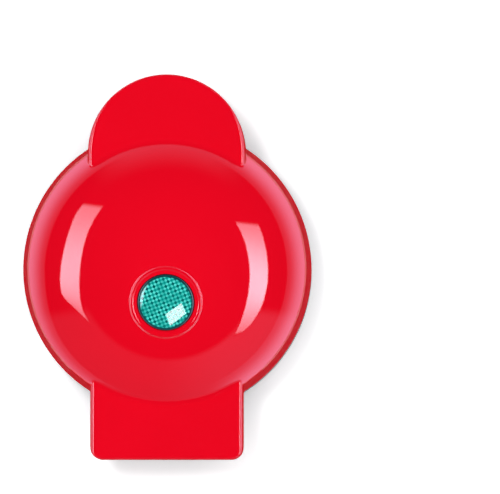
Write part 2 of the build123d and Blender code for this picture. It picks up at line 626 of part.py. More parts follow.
def make_indicator_lens():
    """Clear cap with a flange that seats under the dome."""
    edge = -dome_depth(LENS_RADIUS) - LENS_EDGE_SINK
    crown_radius = (LENS_RADIUS ** 2 + LENS_CROWN ** 2) / (2 * LENS_CROWN)
    top = Pos(0, 0, edge + LENS_CROWN - crown_radius) * Sphere(crown_radius)
    lens = cylinder(LENS_RADIUS, -LENS_SEAT - LENS_FLANGE, edge + LENS_CROWN) & top
    lens += cylinder(LENS_FLANGE_RADIUS, -LENS_SEAT - LENS_FLANGE, -LENS_SEAT)
    lens -= cylinder(RETAINER_BORE, -LENS_SEAT - LENS_FLANGE, edge + LENS_CROWN - LENS_THICKNESS)
    return lens


LAMP_RING_TOP = -LENS_SEAT - LENS_FLANGE - RETAINER


def make_lens_retainer():
    return cylinder(LENS_FLANGE_RADIUS + HOLE_FIT / 2, LAMP_RING_TOP, -LENS_SEAT - LENS_FLANGE) - cylinder(
        RETAINER_BORE, LAMP_RING_TOP, -LENS_SEAT - LENS_FLANGE)


def make_lamp_holder():
    """Ring in the lens collar with two cheeks that carry the lamp and its resistor."""
    ring_radius = LENS_FLANGE_RADIUS + HOLE_FIT / 2
    ring_bottom = LAMP_RING_TOP - RETAINER
    holder = cylinder(ring_radius, ring_bottom, LAMP_RING_TOP) - cylinder(
        RETAINER_BORE, ring_bottom, LAMP_RING_TOP)
    front = RESISTOR_OFFSET - RESISTOR_RADIUS - CHEEK_MARGIN
    back = LAMP_RADIUS + CHEEK_MARGIN
    for side in (-1, 1):
        near, far = sorted((side * CHEEK_X, side * (CHEEK_X + CHEEK)))
        holder += block(near, far, front, back, -LAMP_DEPTH - LAMP_RADIUS - CHEEK_MARGIN, LAMP_RING_TOP)
        bar_near, bar_far = sorted((side * CHEEK_X, side * (ring_radius - COLLAR_WALL)))
        holder += block(bar_near, bar_far, front, back, ring_bottom, LAMP_RING_TOP)
    holder -= crosswise(LAMP_RADIUS, -LAMP_LENGTH, LAMP_LENGTH, 0, -LAMP_DEPTH)
    holder -= crosswise(RESISTOR_RADIUS, -RESISTOR_LENGTH, RESISTOR_LENGTH, RESISTOR_OFFSET, -LAMP_DEPTH)
    return holder


def make_indicator_lamp():
    return crosswise(LAMP_RADIUS, -LAMP_LENGTH / 2, LAMP_LENGTH / 2, 0, -LAMP_DEPTH)


def make_lamp_resistor():
    return crosswise(RESISTOR_RADIUS, -RESISTOR_LENGTH / 2, RESISTOR_LENGTH / 2, RESISTOR_OFFSET, -LAMP_DEPTH)


# Hinge


def make_hinge_pin(side):
    """Steel pin pressed into the lid's barrel and turning in the base's knuckle."""
    ends = sorted((side * KNUCKLE_INNER_X, side * BARREL_OUTER_X))
    return crosswise(HINGE_PIN_RADIUS, *ends, PIVOT_Y, PIVOT_Z)


LEAD_CHANNEL = HINGE_LEAD_RADIUS + HOLE_FIT
POST_TOP = MEET_Z - PLATE_GAP / 2 - PLATE_FLANGE
STEP_Z = UPPER_FACE_Z + BOSS_HEIGHT
REFLECTOR_FLOOR_Z = UPPER_FACE_Z + REFLECTOR_FLOOR_HEIGHT
UPPER_LEAD = ((0.0, PIVOT_Y, PIVOT_Z), (HINGE_LEAD_X, PIVOT_Y, PIVOT_Z),
              (HINGE_LEAD_X, PIVOT_Y - LEAD_OVER_LINER[0], PIVOT_Z + LEAD_OVER_LINER[1]),
              (HINGE_LEAD_X, PLATE_BOSS_CIRCLE, STEP_Z + LEAD_OVER_STEP),
              (HINGE_LEAD_X, PLATE_BOSS_CIRCLE - LEAD_END[0], REFLECTOR_FLOOR_Z + LEAD_END[1]))
LOWER_LEAD = ((0.0, PIVOT_Y, PIVOT_Z), (-HINGE_LEAD_X, PIVOT_Y, PIVOT_Z),
              (-HINGE_LEAD_X, BASE_BACK_Y - WALL - HINGE_LEAD_RADIUS - HOLE_FIT, BASE_TOP - LEAD_DROP[0]),
              (-HINGE_LEAD_X, BASE_BACK_Y - WALL - HINGE_LEAD_RADIUS - HOLE_FIT, BASE_TOP - LEAD_DROP[1]))


def make_hinge_lead(points):
    """Sleeved lead from the hinge's axis into one half; a hair is left free at the axis."""
    side = math.copysign(HOLE_FIT / 4, points[1][0])
    return wire(HINGE_LEAD_RADIUS, (side, *points[0][1:]), *points[1:])


# Base


def base_posts():
    return [on_circle(BASE_POST_CIRCLE, angle) for angle in BASE_POST_ANGLES]


WELL_TOP = BASE_BOTTOM + SCREW_WELL_DEPTH
POST_BOTTOM = WELL_TOP + SCREW_WELL_WALL
FEET = {"front_left_foot": 180 + FOOT_ANGLE, "front_right_foot": -FOOT_ANGLE,
        "rear_left_foot": 180 - FOOT_ANGLE, "rear_right_foot": FOOT_ANGLE}
CLAMP_SCREWS = [(side * CLAMP_SCREW_X, CLAMP_Y) for side in (-1, 1)]
BLOCK_HALF = KNUCKLE_OUTER_X


def base_outline():
    """Outside of the base with its lower edges rounded."""
    body = base_form(0, BASE_BOTTOM)
    body = fillet(body.faces().sort_by(Axis.Z)[0].edges(), BOTTOM_EDGE)
    tab = base_tab_form(0)
    return body + fillet(tab.faces().sort_by(Axis.Z)[0].edges(), BASE_TAB_EDGE)


def make_base_shell():
    outline = base_outline()
    shell = outline - base_form(WALL, BASE_FLOOR) - base_tab_form(WALL)
    for x, y in base_posts():
        shell += cylinder(SCREW_WELL_RADIUS + SCREW_WELL_WALL, BASE_BOTTOM, POST_BOTTOM, x, y)
    shell &= outline
    for x, y in base_posts():
        shell -= cylinder(SCREW_WELL_RADIUS, BASE_BOTTOM, WELL_TOP, x, y)
        shell -= cylinder(SCREW_HOLE, WELL_TOP, POST_BOTTOM, x, y)
    for angle in FEET.values():
        shell -= cylinder(FOOT_NECK_RADIUS, BASE_BOTTOM, BASE_FLOOR,
                          *on_circle(RIM_RADIUS - FOOT_INSET, angle))
    for row in range(VENT_COUNT):
        vent = Pos(0, VENT_FIRST_Y + row * VENT_PITCH) * SlotOverall(VENT_LENGTH, VENT_WIDTH)
        shell -= upright(vent, BASE_BOTTOM, BASE_FLOOR)
    for x, y in CLAMP_SCREWS:
        shell += cylinder(CLAMP_BOSS_RADIUS, BASE_FLOOR, GLAND_Z, x, y)
        shell -= cylinder(CLAMP_SCREW_RADIUS, BASE_FLOOR + WALL / 2, GLAND_Z, x, y)
    shell -= lying(GLAND_NECK_RADIUS, BASE_BACK_Y - WALL, WALL, 0, GLAND_Z)
    shell -= block(-BLOCK_HALF, BLOCK_HALF, BASE_BACK_Y - WALL, BASE_BACK_Y,
                   BASE_TOP - HINGE_BLOCK_DEPTH, BASE_TOP)
    return shell - wire(LEAD_CHANNEL, *LOWER_LEAD)


def make_base_frame():
    floor_z = BASE_TOP - FRAME_FLOOR
    full = base_form(WALL + CASE_FIT, floor_z) + base_tab_form(WALL + CASE_FIT)
    frame = full & block(-2 * RIM_RADIUS, 2 * RIM_RADIUS, -2 * RIM_RADIUS, 2 * RIM_RADIUS, floor_z, BASE_TOP)
    frame += cylinder(PLATE_OPENING + FRAME_RIM, POST_TOP - LEDGE, BASE_TOP)
    for x, y in base_posts():
        frame += cylinder(BOSS_RADIUS, POST_BOTTOM, BASE_TOP, x, y)
    block_bottom = BASE_TOP - HINGE_BLOCK_DEPTH
    frame += block(-BLOCK_HALF + CASE_FIT, BLOCK_HALF - CASE_FIT,
                   BASE_BACK_Y - HINGE_BLOCK_LENGTH, BASE_BACK_Y, block_bottom, BASE_TOP)
    frame -= cylinder(PLATE_OPENING, POST_TOP, BASE_TOP)
    frame -= cylinder(LEDGE_OPENING, POST_TOP - LEDGE, POST_TOP)
    knuckle = make_knuckle_section(block_bottom)
    for side in (-1, 1):
        ends = sorted((side * KNUCKLE_INNER_X, side * KNUCKLE_OUTER_X))
        frame += Pos(ends[0], 0, 0) * extrude(knuckle, ends[1] - ends[0], dir=(1, 0, 0))
        frame -= crosswise(HINGE_PIN_RADIUS + PIN_FIT, *ends, PIVOT_Y, PIVOT_Z)
    frame -= wire(LEAD_CHANNEL, *LOWER_LEAD)
    for x, y in base_posts():
        frame -= cylinder(SCREW_RADIUS, POST_BOTTOM, POST_BOTTOM + SCREW_BITE, x, y)
    return frame


def make_knuckle_section(block_bottom):
    """Side view of a knuckle and the arm that joins it to the hinge block."""
    arm = Polyline((0, BASE_BACK_Y - WALL, block_bottom), (0, BASE_BACK_Y - WALL, BASE_TOP),
                   (0, BASE_BACK_Y, BASE_TOP), (0, PIVOT_Y - KNUCKLE_RADIUS, PIVOT_Z),
                   (0, PIVOT_Y, PIVOT_Z), (0, PIVOT_Y + KNUCKLE_RADIUS * 0.6, PIVOT_Z - KNUCKLE_RADIUS * 0.8),
                   (0, BASE_BACK_Y, block_bottom), close=True)
    side_view = Plane((0, PIVOT_Y, PIVOT_Z), x_dir=(0, 1, 0), z_dir=(1, 0, 0))
    return make_face(arm) + side_view * Circle(KNUCKLE_RADIUS)


def make_base_screws():
    """Screws up through the base's floor into the liner's posts."""
    upward = Rot(180, 0, 0) * screw(SCREW_WELL_WALL + SCREW_BITE)
    return group([Pos(x, y, WELL_TOP) * upward for x, y in base_posts()])


def make_foot(angle):
    """Rubber foot with a barbed neck through the base's floor."""
    foot = turned((0, 0), (FOOT_RADIUS - 1, 0), (FOOT_RADIUS, 1), (FOOT_RADIUS, FOOT_HEIGHT),
                  (FOOT_NECK_RADIUS, FOOT_HEIGHT), (FOOT_NECK_RADIUS, BASE_FLOOR),
                  (FOOT_BARB_RADIUS, BASE_FLOOR), (FOOT_NECK_RADIUS - 1, BASE_FLOOR + FOOT_BARB),
                  (0, BASE_FLOOR + FOOT_BARB))
    return Pos(*on_circle(RIM_RADIUS - FOOT_INSET, angle)) * foot


def make_terminal_block():
    """Two-way block on the base's floor."""
    top = BASE_FLOOR + TERMINAL_HEIGHT
    body = block(-TERMINAL_HALF_WIDTH, TERMINAL_HALF_WIDTH, TERMINAL_Y - TERMINAL_DEPTH / 2,
                 TERMINAL_Y + TERMINAL_DEPTH / 2, BASE_FLOOR, top)
    for side in (-1, 1):
        body -= cylinder(SCREW_RADIUS, BASE_FLOOR + WALL, top, side * TERMINAL_SCREW_X, TERMINAL_Y)
    return body


def make_terminal_screws():
    top = BASE_FLOOR + TERMINAL_HEIGHT
    length = TERMINAL_HEIGHT - WALL
    return group([Pos(side * TERMINAL_SCREW_X, TERMINAL_Y, top) * screw(length) for side in (-1, 1)])


def make_cord_gland():
    """Sleeve for the mains lead through the base's rear wall."""
    outline = turned((GLAND_BORE, 0), (GLAND_NECK_RADIUS, 0), (GLAND_NECK_RADIUS, WALL),
                     (GLAND_FLANGE_RADIUS, WALL), (GLAND_FLANGE_RADIUS, WALL + GLAND_FLANGE),
                     (GLAND_NECK_RADIUS + HOLE_FIT, WALL + GLAND_FLANGE),
                     (GLAND_SLEEVE_END, WALL + GLAND_FLANGE + GLAND_SLEEVE),
                     (GLAND_BORE, WALL + GLAND_FLANGE + GLAND_SLEEVE))
    return Pos(0, BASE_BACK_Y - WALL, GLAND_Z) * Rot(-90, 0, 0) * outline


def make_cord_clamp():
    """Bar that holds the mains lead down beside the gland."""
    bar = block(-CLAMP_HALF_LENGTH, CLAMP_HALF_LENGTH, CLAMP_Y - CLAMP_WIDTH / 2, CLAMP_Y + CLAMP_WIDTH / 2,
                GLAND_Z, GLAND_Z + CLAMP_THICKNESS)
    arch = GLAND_BORE + CLAMP_THICKNESS / 2
    bar += lying(arch, CLAMP_Y - CLAMP_WIDTH / 2, CLAMP_WIDTH, 0, GLAND_Z) & block(
        -arch, arch, CLAMP_Y - CLAMP_WIDTH, CLAMP_Y + CLAMP_WIDTH, GLAND_Z, GLAND_Z + 2 * arch)
    bar -= lying(GLAND_BORE, CLAMP_Y - CLAMP_WIDTH, 2 * CLAMP_WIDTH, 0, GLAND_Z)
    for x, y in CLAMP_SCREWS:
        bar -= cylinder(CLAMP_SCREW_RADIUS + HOLE_FIT / 2, GLAND_Z, GLAND_Z + CLAMP_THICKNESS, x, y)
    return bar


def make_cord_clamp_screws():
    top = GLAND_Z + CLAMP_THICKNESS
    return group([cylinder(CLAMP_HEAD_RADIUS, top, top + CLAMP_HEAD, x, y)
                  + cylinder(CLAMP_SCREW_RADIUS, BASE_FLOOR + WALL / 2, top, x, y) for x, y in CLAMP_SCREWS])


# Wiring


PIN_Y = ELEMENT_END_Y + ELEMENT_PIN_LENGTH / 2
BLADE_Z = UPPER_FACE_Z + BRACKET_SEAT + THERMOSTAT_BODY + BLADE_SIZE[2] / 2
BLADE_SIDE = BLADE_X + BLADE_SIZE[0] / 2


def lens_point(x, y, z):
    """A place given on the lens axis, in the lid's own frame."""
    return tuple((LENS_PLACE * Pos(x, y, z)).position)


def make_lid_wiring():
    """Wires from the hinge lead to thermostat, fuse and element."""
    fuse_z = UPPER_FACE_Z + FUSE_Z
    fuse_back = FUSE_FRONT_Y + FUSE_LENGTH
    pin_top = UPPER_FACE_Z + ELEMENT_HEIGHT + ELEMENT_PIN_RADIUS
    over_pin = pin_top + WIRE_RUN / 2
    lead_x, lead_y, lead_z = UPPER_LEAD[-1]
    slope = (lead_z - UPPER_LEAD[-2][2]) / (UPPER_LEAD[-2][1] - lead_y)
    inner_x = ELEMENT_LEAD_X - WIRE_RUN / 2
    turn_y = lead_y - 0.75 * WIRE_RUN
    turn_z = lead_z + 0.75 * WIRE_RUN * slope
    live = wire(WIRE_RADIUS, (lead_x + WIRE_RADIUS, lead_y, lead_z),
                (lead_x + WIRE_RADIUS, lead_y - WIRE_RUN, lead_z + WIRE_RUN * slope),
                (2 * BLADE_X, BLADE_Y + 2 * WIRE_RUN, BLADE_Z - WIRE_RADIUS),
                (BLADE_X, BLADE_Y + WIRE_RUN, BLADE_Z), (BLADE_X, BLADE_Y + BLADE_SIZE[1] / 2, BLADE_Z))
    neutral = wire(WIRE_RADIUS, (lead_x - WIRE_RADIUS, lead_y, lead_z),
                   (lead_x - WIRE_RADIUS, turn_y, turn_z),
                   (inner_x, turn_y, turn_z), (inner_x, lead_y + WIRE_RUN / 2, lead_z),
                   (ELEMENT_LEAD_X, PIN_Y, over_pin), (ELEMENT_LEAD_X, PIN_Y, pin_top))
    to_fuse = wire(WIRE_RADIUS, (-BLADE_SIDE, BLADE_Y, BLADE_Z), (-BLADE_SIDE - WIRE_RUN, BLADE_Y, BLADE_Z),
                   (FUSE_X + WIRE_RUN, FUSE_FRONT_Y - WIRE_RUN, fuse_z + WIRE_RISE),
                   (FUSE_X, FUSE_FRONT_Y - WIRE_RUN, fuse_z), (FUSE_X, FUSE_FRONT_Y, fuse_z))
    from_fuse = wire(WIRE_RADIUS, (FUSE_X, fuse_back, fuse_z), (FUSE_X, fuse_back + WIRE_RUN, fuse_z),
                     (FUSE_X + 1.5 * WIRE_RUN, fuse_back + 2.5 * WIRE_RUN, fuse_z),
                     (-ELEMENT_LEAD_X - WIRE_RISE, PIN_Y - WIRE_RUN, over_pin + WIRE_RADIUS),
                     (-ELEMENT_LEAD_X, PIN_Y, over_pin), (-ELEMENT_LEAD_X, PIN_Y, pin_top))
    return group([live, neutral, to_fuse, from_fuse])


def make_lamp_wiring():
    """Lamp and resistor joined on one side, with a tail to the thermostat's blade on the other."""
    half = LAMP_LENGTH / 2
    beyond = half + WIRE_RUN / 3
    thin = WIRE_RADIUS / 2
    tail_z = BLADE_Z - BLADE_SIZE[2] / 3
    loop = wire(thin, lens_point(-half, 0, -LAMP_DEPTH), lens_point(-beyond, 0, -LAMP_DEPTH),
                lens_point(-beyond, RESISTOR_OFFSET, -LAMP_DEPTH),
                lens_point(-half, RESISTOR_OFFSET, -LAMP_DEPTH))
    tail = wire(thin, lens_point(half, 0, -LAMP_DEPTH), lens_point(half + WIRE_RUN, 0, -LAMP_DEPTH),
                (BLADE_SIDE + WIRE_RUN, BLADE_Y - WIRE_RUN / 2, tail_z - WIRE_RADIUS / 2),
                (BLADE_SIDE + WIRE_RUN / 2, BLADE_Y, tail_z), (BLADE_SIDE, BLADE_Y, tail_z))
    return group([loop, tail])


def make_base_wiring():
    """Wires from the terminal block to the element and to the hinge lead."""
    rear = TERMINAL_Y + TERMINAL_DEPTH / 2
    low_z = BASE_FLOOR + TERMINAL_HEIGHT / 2
    high_z = BASE_FLOOR + TERMINAL_HEIGHT - 2 * WIRE_RADIUS
    pin_bottom = 2 * MEET_Z - UPPER_FACE_Z - ELEMENT_HEIGHT - ELEMENT_PIN_RADIUS
    lead_x, lead_y, lead_z = LOWER_LEAD[-1]
    wires = []
    for side in (-1, 1):
        x = side * ELEMENT_LEAD_X
        wires.append(wire(WIRE_RADIUS, (x, rear, high_z), (x, PIN_Y, high_z), (x, PIN_Y, pin_bottom)))
        y = lead_y + side * WIRE_RADIUS
        z = low_z - side * WIRE_RADIUS
        wires.append(wire(WIRE_RADIUS, (lead_x, rear, z), (lead_x, y, z), (lead_x, y, lead_z)))
    return group(wires)


def main():
    os.makedirs("parts", exist_ok=True)
    plate = make_plate()
    element = omega_tube(ELEMENT_RADIUS, ELEMENT_HEIGHT)
    pins = make_element_pins()
    reflector = make_reflector()
    plate_screws = make_plate_screws()
    nodes = {
        "lid_shell": make_lid_shell(),
        "lid_frame": make_lid_frame(),
        "lid_frame_screws": make_lid_frame_screws(),
        "indicator_lens": LENS_PLACE * make_indicator_lens(),
        "lens_retainer": LENS_PLACE * make_lens_retainer(),
        "lamp_holder": LENS_PLACE * make_lamp_holder(),
        "indicator_lamp": LENS_PLACE * make_indicator_lamp(),
        "lamp_resistor": LENS_PLACE * make_lamp_resistor(),
        "lamp_wiring": make_lamp_wiring(),
        "upper_plate": back_of_plate(plate),
        "upper_heating_element": back_of_plate(element),
        "upper_element_pins": back_of_plate(pins),
        "upper_reflector": back_of_plate(reflector),
        "upper_plate_screws": back_of_plate(plate_screws),
        "thermostat_cap": back_of_plate(make_thermostat_cap()),
        "thermostat_body": back_of_plate(make_thermostat_body()),
        "thermostat_bracket": back_of_plate(make_thermostat_bracket()),
        "thermostat_screws": back_of_plate(make_thermostat_screws()),
        "thermal_fuse": back_of_plate(make_thermal_fuse()),
        "fuse_clamp": back_of_plate(make_fuse_clamp()),
        "left_hinge_pin": make_hinge_pin(-1),
        "right_hinge_pin": make_hinge_pin(1),
        "upper_hinge_lead": make_hinge_lead(UPPER_LEAD),
        "lid_wiring": make_lid_wiring(),
        "base_shell": make_base_shell(),
        "base_frame": make_base_frame(),
        "base_screws": make_base_screws(),
        "lower_plate": to_base(back_of_plate(plate)),
        "lower_heating_element": to_base(back_of_plate(element)),
        "lower_element_pins": to_base(back_of_plate(pins)),
        "lower_reflector": to_base(back_of_plate(reflector)),
        "lower_plate_screws": to_base(back_of_plate(plate_screws)),
        "terminal_block": make_terminal_block(),
        "terminal_screws": make_terminal_screws(),
        "cord_gland": make_cord_gland(),
        "cord_clamp": make_cord_clamp(),
        "cord_clamp_screws": make_cord_clamp_screws(),
        "lower_hinge_lead": make_hinge_lead(LOWER_LEAD),
        "base_wiring": make_base_wiring(),
    }
    for name, angle in FEET.items():
        nodes[name] = make_foot(angle)
    for name, shape in nodes.items():
        export_step(shape, f"parts/{name}.step")


main()
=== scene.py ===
"""Mini waffle maker: looks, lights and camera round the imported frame."""

import functools
import json
import logging
import math
from dataclasses import dataclass
from enum import Enum

import bmesh
import bpy
import numpy as np
from mathutils import Matrix, Vector


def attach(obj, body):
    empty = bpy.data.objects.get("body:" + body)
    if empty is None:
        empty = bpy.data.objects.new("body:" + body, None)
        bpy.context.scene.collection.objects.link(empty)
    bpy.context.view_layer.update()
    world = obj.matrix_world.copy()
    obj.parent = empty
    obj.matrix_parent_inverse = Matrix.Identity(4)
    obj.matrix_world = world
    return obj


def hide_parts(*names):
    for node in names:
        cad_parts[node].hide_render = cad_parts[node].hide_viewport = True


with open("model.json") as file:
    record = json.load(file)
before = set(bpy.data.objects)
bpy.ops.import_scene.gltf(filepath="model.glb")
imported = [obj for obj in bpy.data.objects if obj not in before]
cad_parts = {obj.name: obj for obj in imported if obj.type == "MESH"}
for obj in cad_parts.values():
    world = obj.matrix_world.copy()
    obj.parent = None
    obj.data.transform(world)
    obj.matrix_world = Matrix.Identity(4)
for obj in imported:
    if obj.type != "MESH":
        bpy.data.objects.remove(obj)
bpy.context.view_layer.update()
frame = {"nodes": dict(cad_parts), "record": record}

log = logging.getLogger("waffle_maker")
logging.basicConfig(level=logging.INFO, format="%(message)s")

MM = 0.001
PICTURE = (500, 494)  # width and height of the photograph, in pixels
SENSOR = 36.0  # width of the camera's sensor, in millimetres
DOME = 94.25  # radius of the lid's dome, in millimetres
DOME_CENTRE = -24.25  # height of the dome's centre
LENS_Y = -15.3  # where the lens axis leaves the dome
LENS_SINE = LENS_Y / DOME  # lean of the lens axis
LENS_COSINE = math.sqrt(1 - LENS_SINE * LENS_SINE)


# Shader kit


class Field:
    """A shader socket, or the number that stands for one, with arithmetic."""

    def __init__(self, bench: "Bench", socket: object) -> None:
        """Keeps the bench that adds nodes, and the socket or number."""
        self.bench = bench
        self.socket = socket

    def _sum(self, operation: str, first: object, second: object) -> "Field":
        """Adds one Math node.

        Args:
            operation: the Math node's operation.
            first: its first value or link.
            second: its second value or link.

        Returns:
            The result as a field.
        """
        return self.bench.node("ShaderNodeMath", {"operation": operation}, {0: first, 1: second})

    def __add__(self, other: object) -> "Field":
        """Sum."""
        return self._sum("ADD", self, other)

    def __radd__(self, other: object) -> "Field":
        """Sum with a number in front."""
        return self._sum("ADD", other, self)

    def __sub__(self, other: object) -> "Field":
        """Difference."""
        return self._sum("SUBTRACT", self, other)

    def __rsub__(self, other: object) -> "Field":
        """Difference with a number in front."""
        return self._sum("SUBTRACT", other, self)

    def __mul__(self, other: object) -> "Field":
        """Product."""
        return self._sum("MULTIPLY", self, other)

    def __rmul__(self, other: object) -> "Field":
        """Product with a number in front."""
        return self._sum("MULTIPLY", other, self)

    def __truediv__(self, other: object) -> "Field":
        """Quotient."""
        return self._sum("DIVIDE", self, other)

    def __rtruediv__(self, other: object) -> "Field":
        """Quotient with a number in front."""
        return self._sum("DIVIDE", other, self)

    def __pow__(self, other: object) -> "Field":
        """Power."""
        return self._sum("POWER", self, other)

    def __rpow__(self, other: object) -> "Field":
        """Power with a number in front."""
        return self._sum("POWER", other, self)

    def __abs__(self) -> "Field":
        """Size without its sign."""
        return self._sum("ABSOLUTE", self, 0.0)

    def most(self, other: object) -> "Field":
        """The greater of two."""
        return self._sum("MAXIMUM", self, other)

    def least(self, other: object) -> "Field":
        """The lesser of two."""
        return self._sum("MINIMUM", self, other)

    def fold(self, period: float) -> "Field":
        """Rises and falls between 0 and the period."""
        return self._sum("PINGPONG", self, period)

    def whole(self) -> "Field":
        """Rounded down."""
        return self._sum("FLOOR", self, 0.0)

    def ramp(self, low: float, high: float, first: float = 0.0, last: float = 1.0) -> "Field":
        """Smooth step.

        Args:
            low: the value where the step starts.
            high: the value where it ends.
            first: the result at low.
            last: the result at high.

        Returns:
            The stepped field.
        """
        return self.bench.node("ShaderNodeMapRange", {"interpolation_type": "SMOOTHSTEP"},
                               {0: self, 1: low, 2: high, 3: first, 4: last})


class Bench:
    """The node tree of a material or a world while it is put together."""

    def __init__(self, owner: bpy.types.Material | bpy.types.World) -> None:
        """Empties the tree of its owner."""
        owner.use_nodes = True
        self.owner = owner
        self.tree = owner.node_tree
        self.tree.nodes.clear()

    @classmethod
    def named(cls, name: str) -> "Bench":
        """Starts an empty material with that name."""
        return cls(bpy.data.materials.new(name))

    def node(self, kind: str, settings: dict, sockets: dict, output: object = 0) -> Field:
        """Adds any node.

        Args:
            kind: the node's type.
            settings: its settings by name.
            sockets: the values or links of its inputs, by name or number.
            output: the output to hand back, by name or number.

        Returns:
            The chosen output as a field.
        """
        made = self.tree.nodes.new(kind)
        for key, value in settings.items():
            setattr(made, key, value)
        for key, value in sockets.items():
            if isinstance(value, Field):
                self.tree.links.new(value.socket, made.inputs[key])
            elif value is not None:
                made.inputs[key].default_value = value
        return Field(self, made.outputs[output])

    def place(self) -> Field:
        """Object coordinates, in metres."""
        return self.node("ShaderNodeTexCoord", {}, {}, "Object")

    def axes(self, place: Field | None = None) -> tuple[Field, Field, Field]:
        """Splits a place into x, y and z."""
        source = place or self.place()
        split = self.node("ShaderNodeSeparateXYZ", {}, {0: source}).socket.node
        return tuple(Field(self, split.outputs[index]) for index in range(3))

    def turned(self, shift: tuple, turn: tuple, scale: tuple = (1.0, 1.0, 1.0)) -> Field:
        """Object coordinates moved, turned and scaled."""
        return self.node("ShaderNodeMapping", {"vector_type": "TEXTURE"},
                         {"Vector": self.place(), "Location": shift, "Rotation": turn, "Scale": scale})

    def noise(self, size: float, detail: float = 3.0, place: Field | None = None) -> Field:
        """Soft noise with spots of about that size, in metres."""
        return self.node("ShaderNodeTexNoise", {},
                         {"Vector": place or self.place(), "Scale": 1.0 / size, "Detail": detail})

    def grains(self, size: float) -> Field:
        """Distance to the nearest grain of about that size."""
        sockets = {"Vector": self.place(), "Scale": 1.0 / size}
        return self.node("ShaderNodeTexVoronoi", {}, sockets, "Distance")

    def mix(self, factor: object, first: object, second: object) -> Field:
        """Mixes two colours."""
        return self.node("ShaderNodeMix", {"data_type": "RGBA"},
                         {0: factor, 6: colour(first), 7: colour(second)}, 2)

    def relief(self, height: Field, depth: float, under: Field | None = None) -> Field:
        """Bump of that depth, in metres."""
        return self.node("ShaderNodeBump", {},
                         {"Height": height, "Distance": depth, "Strength": 1.0, "Normal": under})

    def ray(self, *kinds: str) -> Field:
        """One for rays of any of these kinds, else nought."""
        path = self.node("ShaderNodeLightPath", {}, {}).socket.node
        return functools.reduce(Field.most, [Field(self, path.outputs[f"Is {kind} Ray"]) for kind in kinds])

    def finish(self, sockets: dict) -> bpy.types.Material:
        """Ends the tree in a Principled shader.

        Args:
            sockets: the shader's values and links by name.

        Returns:
            The finished material.
        """
        return self.end(self.node("ShaderNodeBsdfPrincipled", {}, sockets))

    def end(self, shader: Field, output: str = "ShaderNodeOutputMaterial") -> bpy.types.ID:
        """Ends the tree in any shader.

        Args:
            shader: the shader or background.
            output: the type of the tree's output node.

        Returns:
            The finished material or world.
        """
        self.tree.links.new(shader.socket, self.tree.nodes.new(output).inputs["Surface"])
        return self.owner


def colour(value: object) -> object:
    """A colour as four numbers; a field stays as it is."""
    return value if isinstance(value, Field) else (*value, 1.0)


def scaled(values: tuple, share: float) -> tuple:
    """Every number of a colour or a span times a share."""
    return tuple(share * value for value in values)


# Finishes


@dataclass(frozen=True)
class GlossPlastic:
    """Injection-moulded plastic whose gloss is a clear skin, full or dull as the polish attribute says."""

    name: str
    tone: tuple[float, float, float]
    deep: tuple[float, float, float]
    roughness: float
    dull: float
    ripple: float

    def make(self) -> bpy.types.Material:
        """Builds the material."""
        bench = Bench.named(self.name)
        drift = bench.noise(0.045, 2.0).ramp(0.35, 0.65)
        specks = bench.grains(0.006).ramp(0.0, 0.06, 1.0, 0.0)
        tone = bench.mix(drift * 0.5, self.tone, self.deep)
        rough = bench.noise(0.012, 4.0).ramp(0.3, 0.7, self.roughness, self.roughness * 1.5)
        rough = rough + specks * 0.05
        peel = bench.relief(bench.noise(0.0035, 1.0), self.ripple)
        polish = bench.node("ShaderNodeAttribute", {"attribute_name": "polish"}, {}, "Fac")
        coat = polish.ramp(0.0, 1.0, self.dull, 1.0)
        return bench.finish({"Base Color": tone, "Roughness": rough, "IOR": 1.5, "Specular IOR Level": 0.0,
                             "Coat Weight": coat, "Coat Roughness": 0.025, "Coat IOR": 1.5, "Normal": peel})


@dataclass(frozen=True)
class GrainedPlastic:
    """Moulded plastic with a fine etched grain."""

    name: str
    tone: tuple[float, float, float]
    light: tuple[float, float, float]
    roughness: float
    grain: float
    depth: float
    shine: float = 0.5

    def make(self) -> bpy.types.Material:
        """Builds the material."""
        bench = Bench.named(self.name)
        leather = bench.grains(self.grain).ramp(0.15, 0.75)
        cloud = bench.noise(0.03, 4.0).ramp(0.35, 0.7)
        tone = bench.mix(cloud * 0.6 + leather * 0.4, self.tone, self.light)
        rough = cloud.ramp(0.0, 1.0, self.roughness * 0.88, self.roughness * 1.1)
        fine = bench.relief(bench.noise(self.grain * 0.5, 2.0), self.depth * 0.5)
        return bench.finish({"Base Color": tone, "Roughness": rough, "IOR": 1.5,
                             "Specular IOR Level": self.shine,
                             "Normal": bench.relief(leather, self.depth, fine)})


@dataclass(frozen=True)
class NonStickCoating:
    """Sprayed release coating with fine mineral flecks on cast metal."""

    name: str
    tone: tuple[float, float, float]
    fleck: tuple[float, float, float]

    def make(self) -> bpy.types.Material:
        """Builds the material."""
        bench = Bench.named(self.name)
        flecks = bench.grains(0.0011).ramp(0.0, 0.16, 1.0, 0.0)
        blotch = bench.noise(0.018, 5.0).ramp(0.3, 0.7)
        tone = bench.mix(flecks * 0.55, bench.mix(blotch, self.tone, scaled(self.tone, 2)), self.fleck)
        rough = blotch.ramp(0.0, 1.0, 0.3, 0.42) + flecks * 0.1
        spray = bench.relief(bench.noise(0.0009, 2.0), 0.00003)
        return bench.finish({"Base Color": tone, "Roughness": rough, "IOR": 1.45, "Normal": spray})


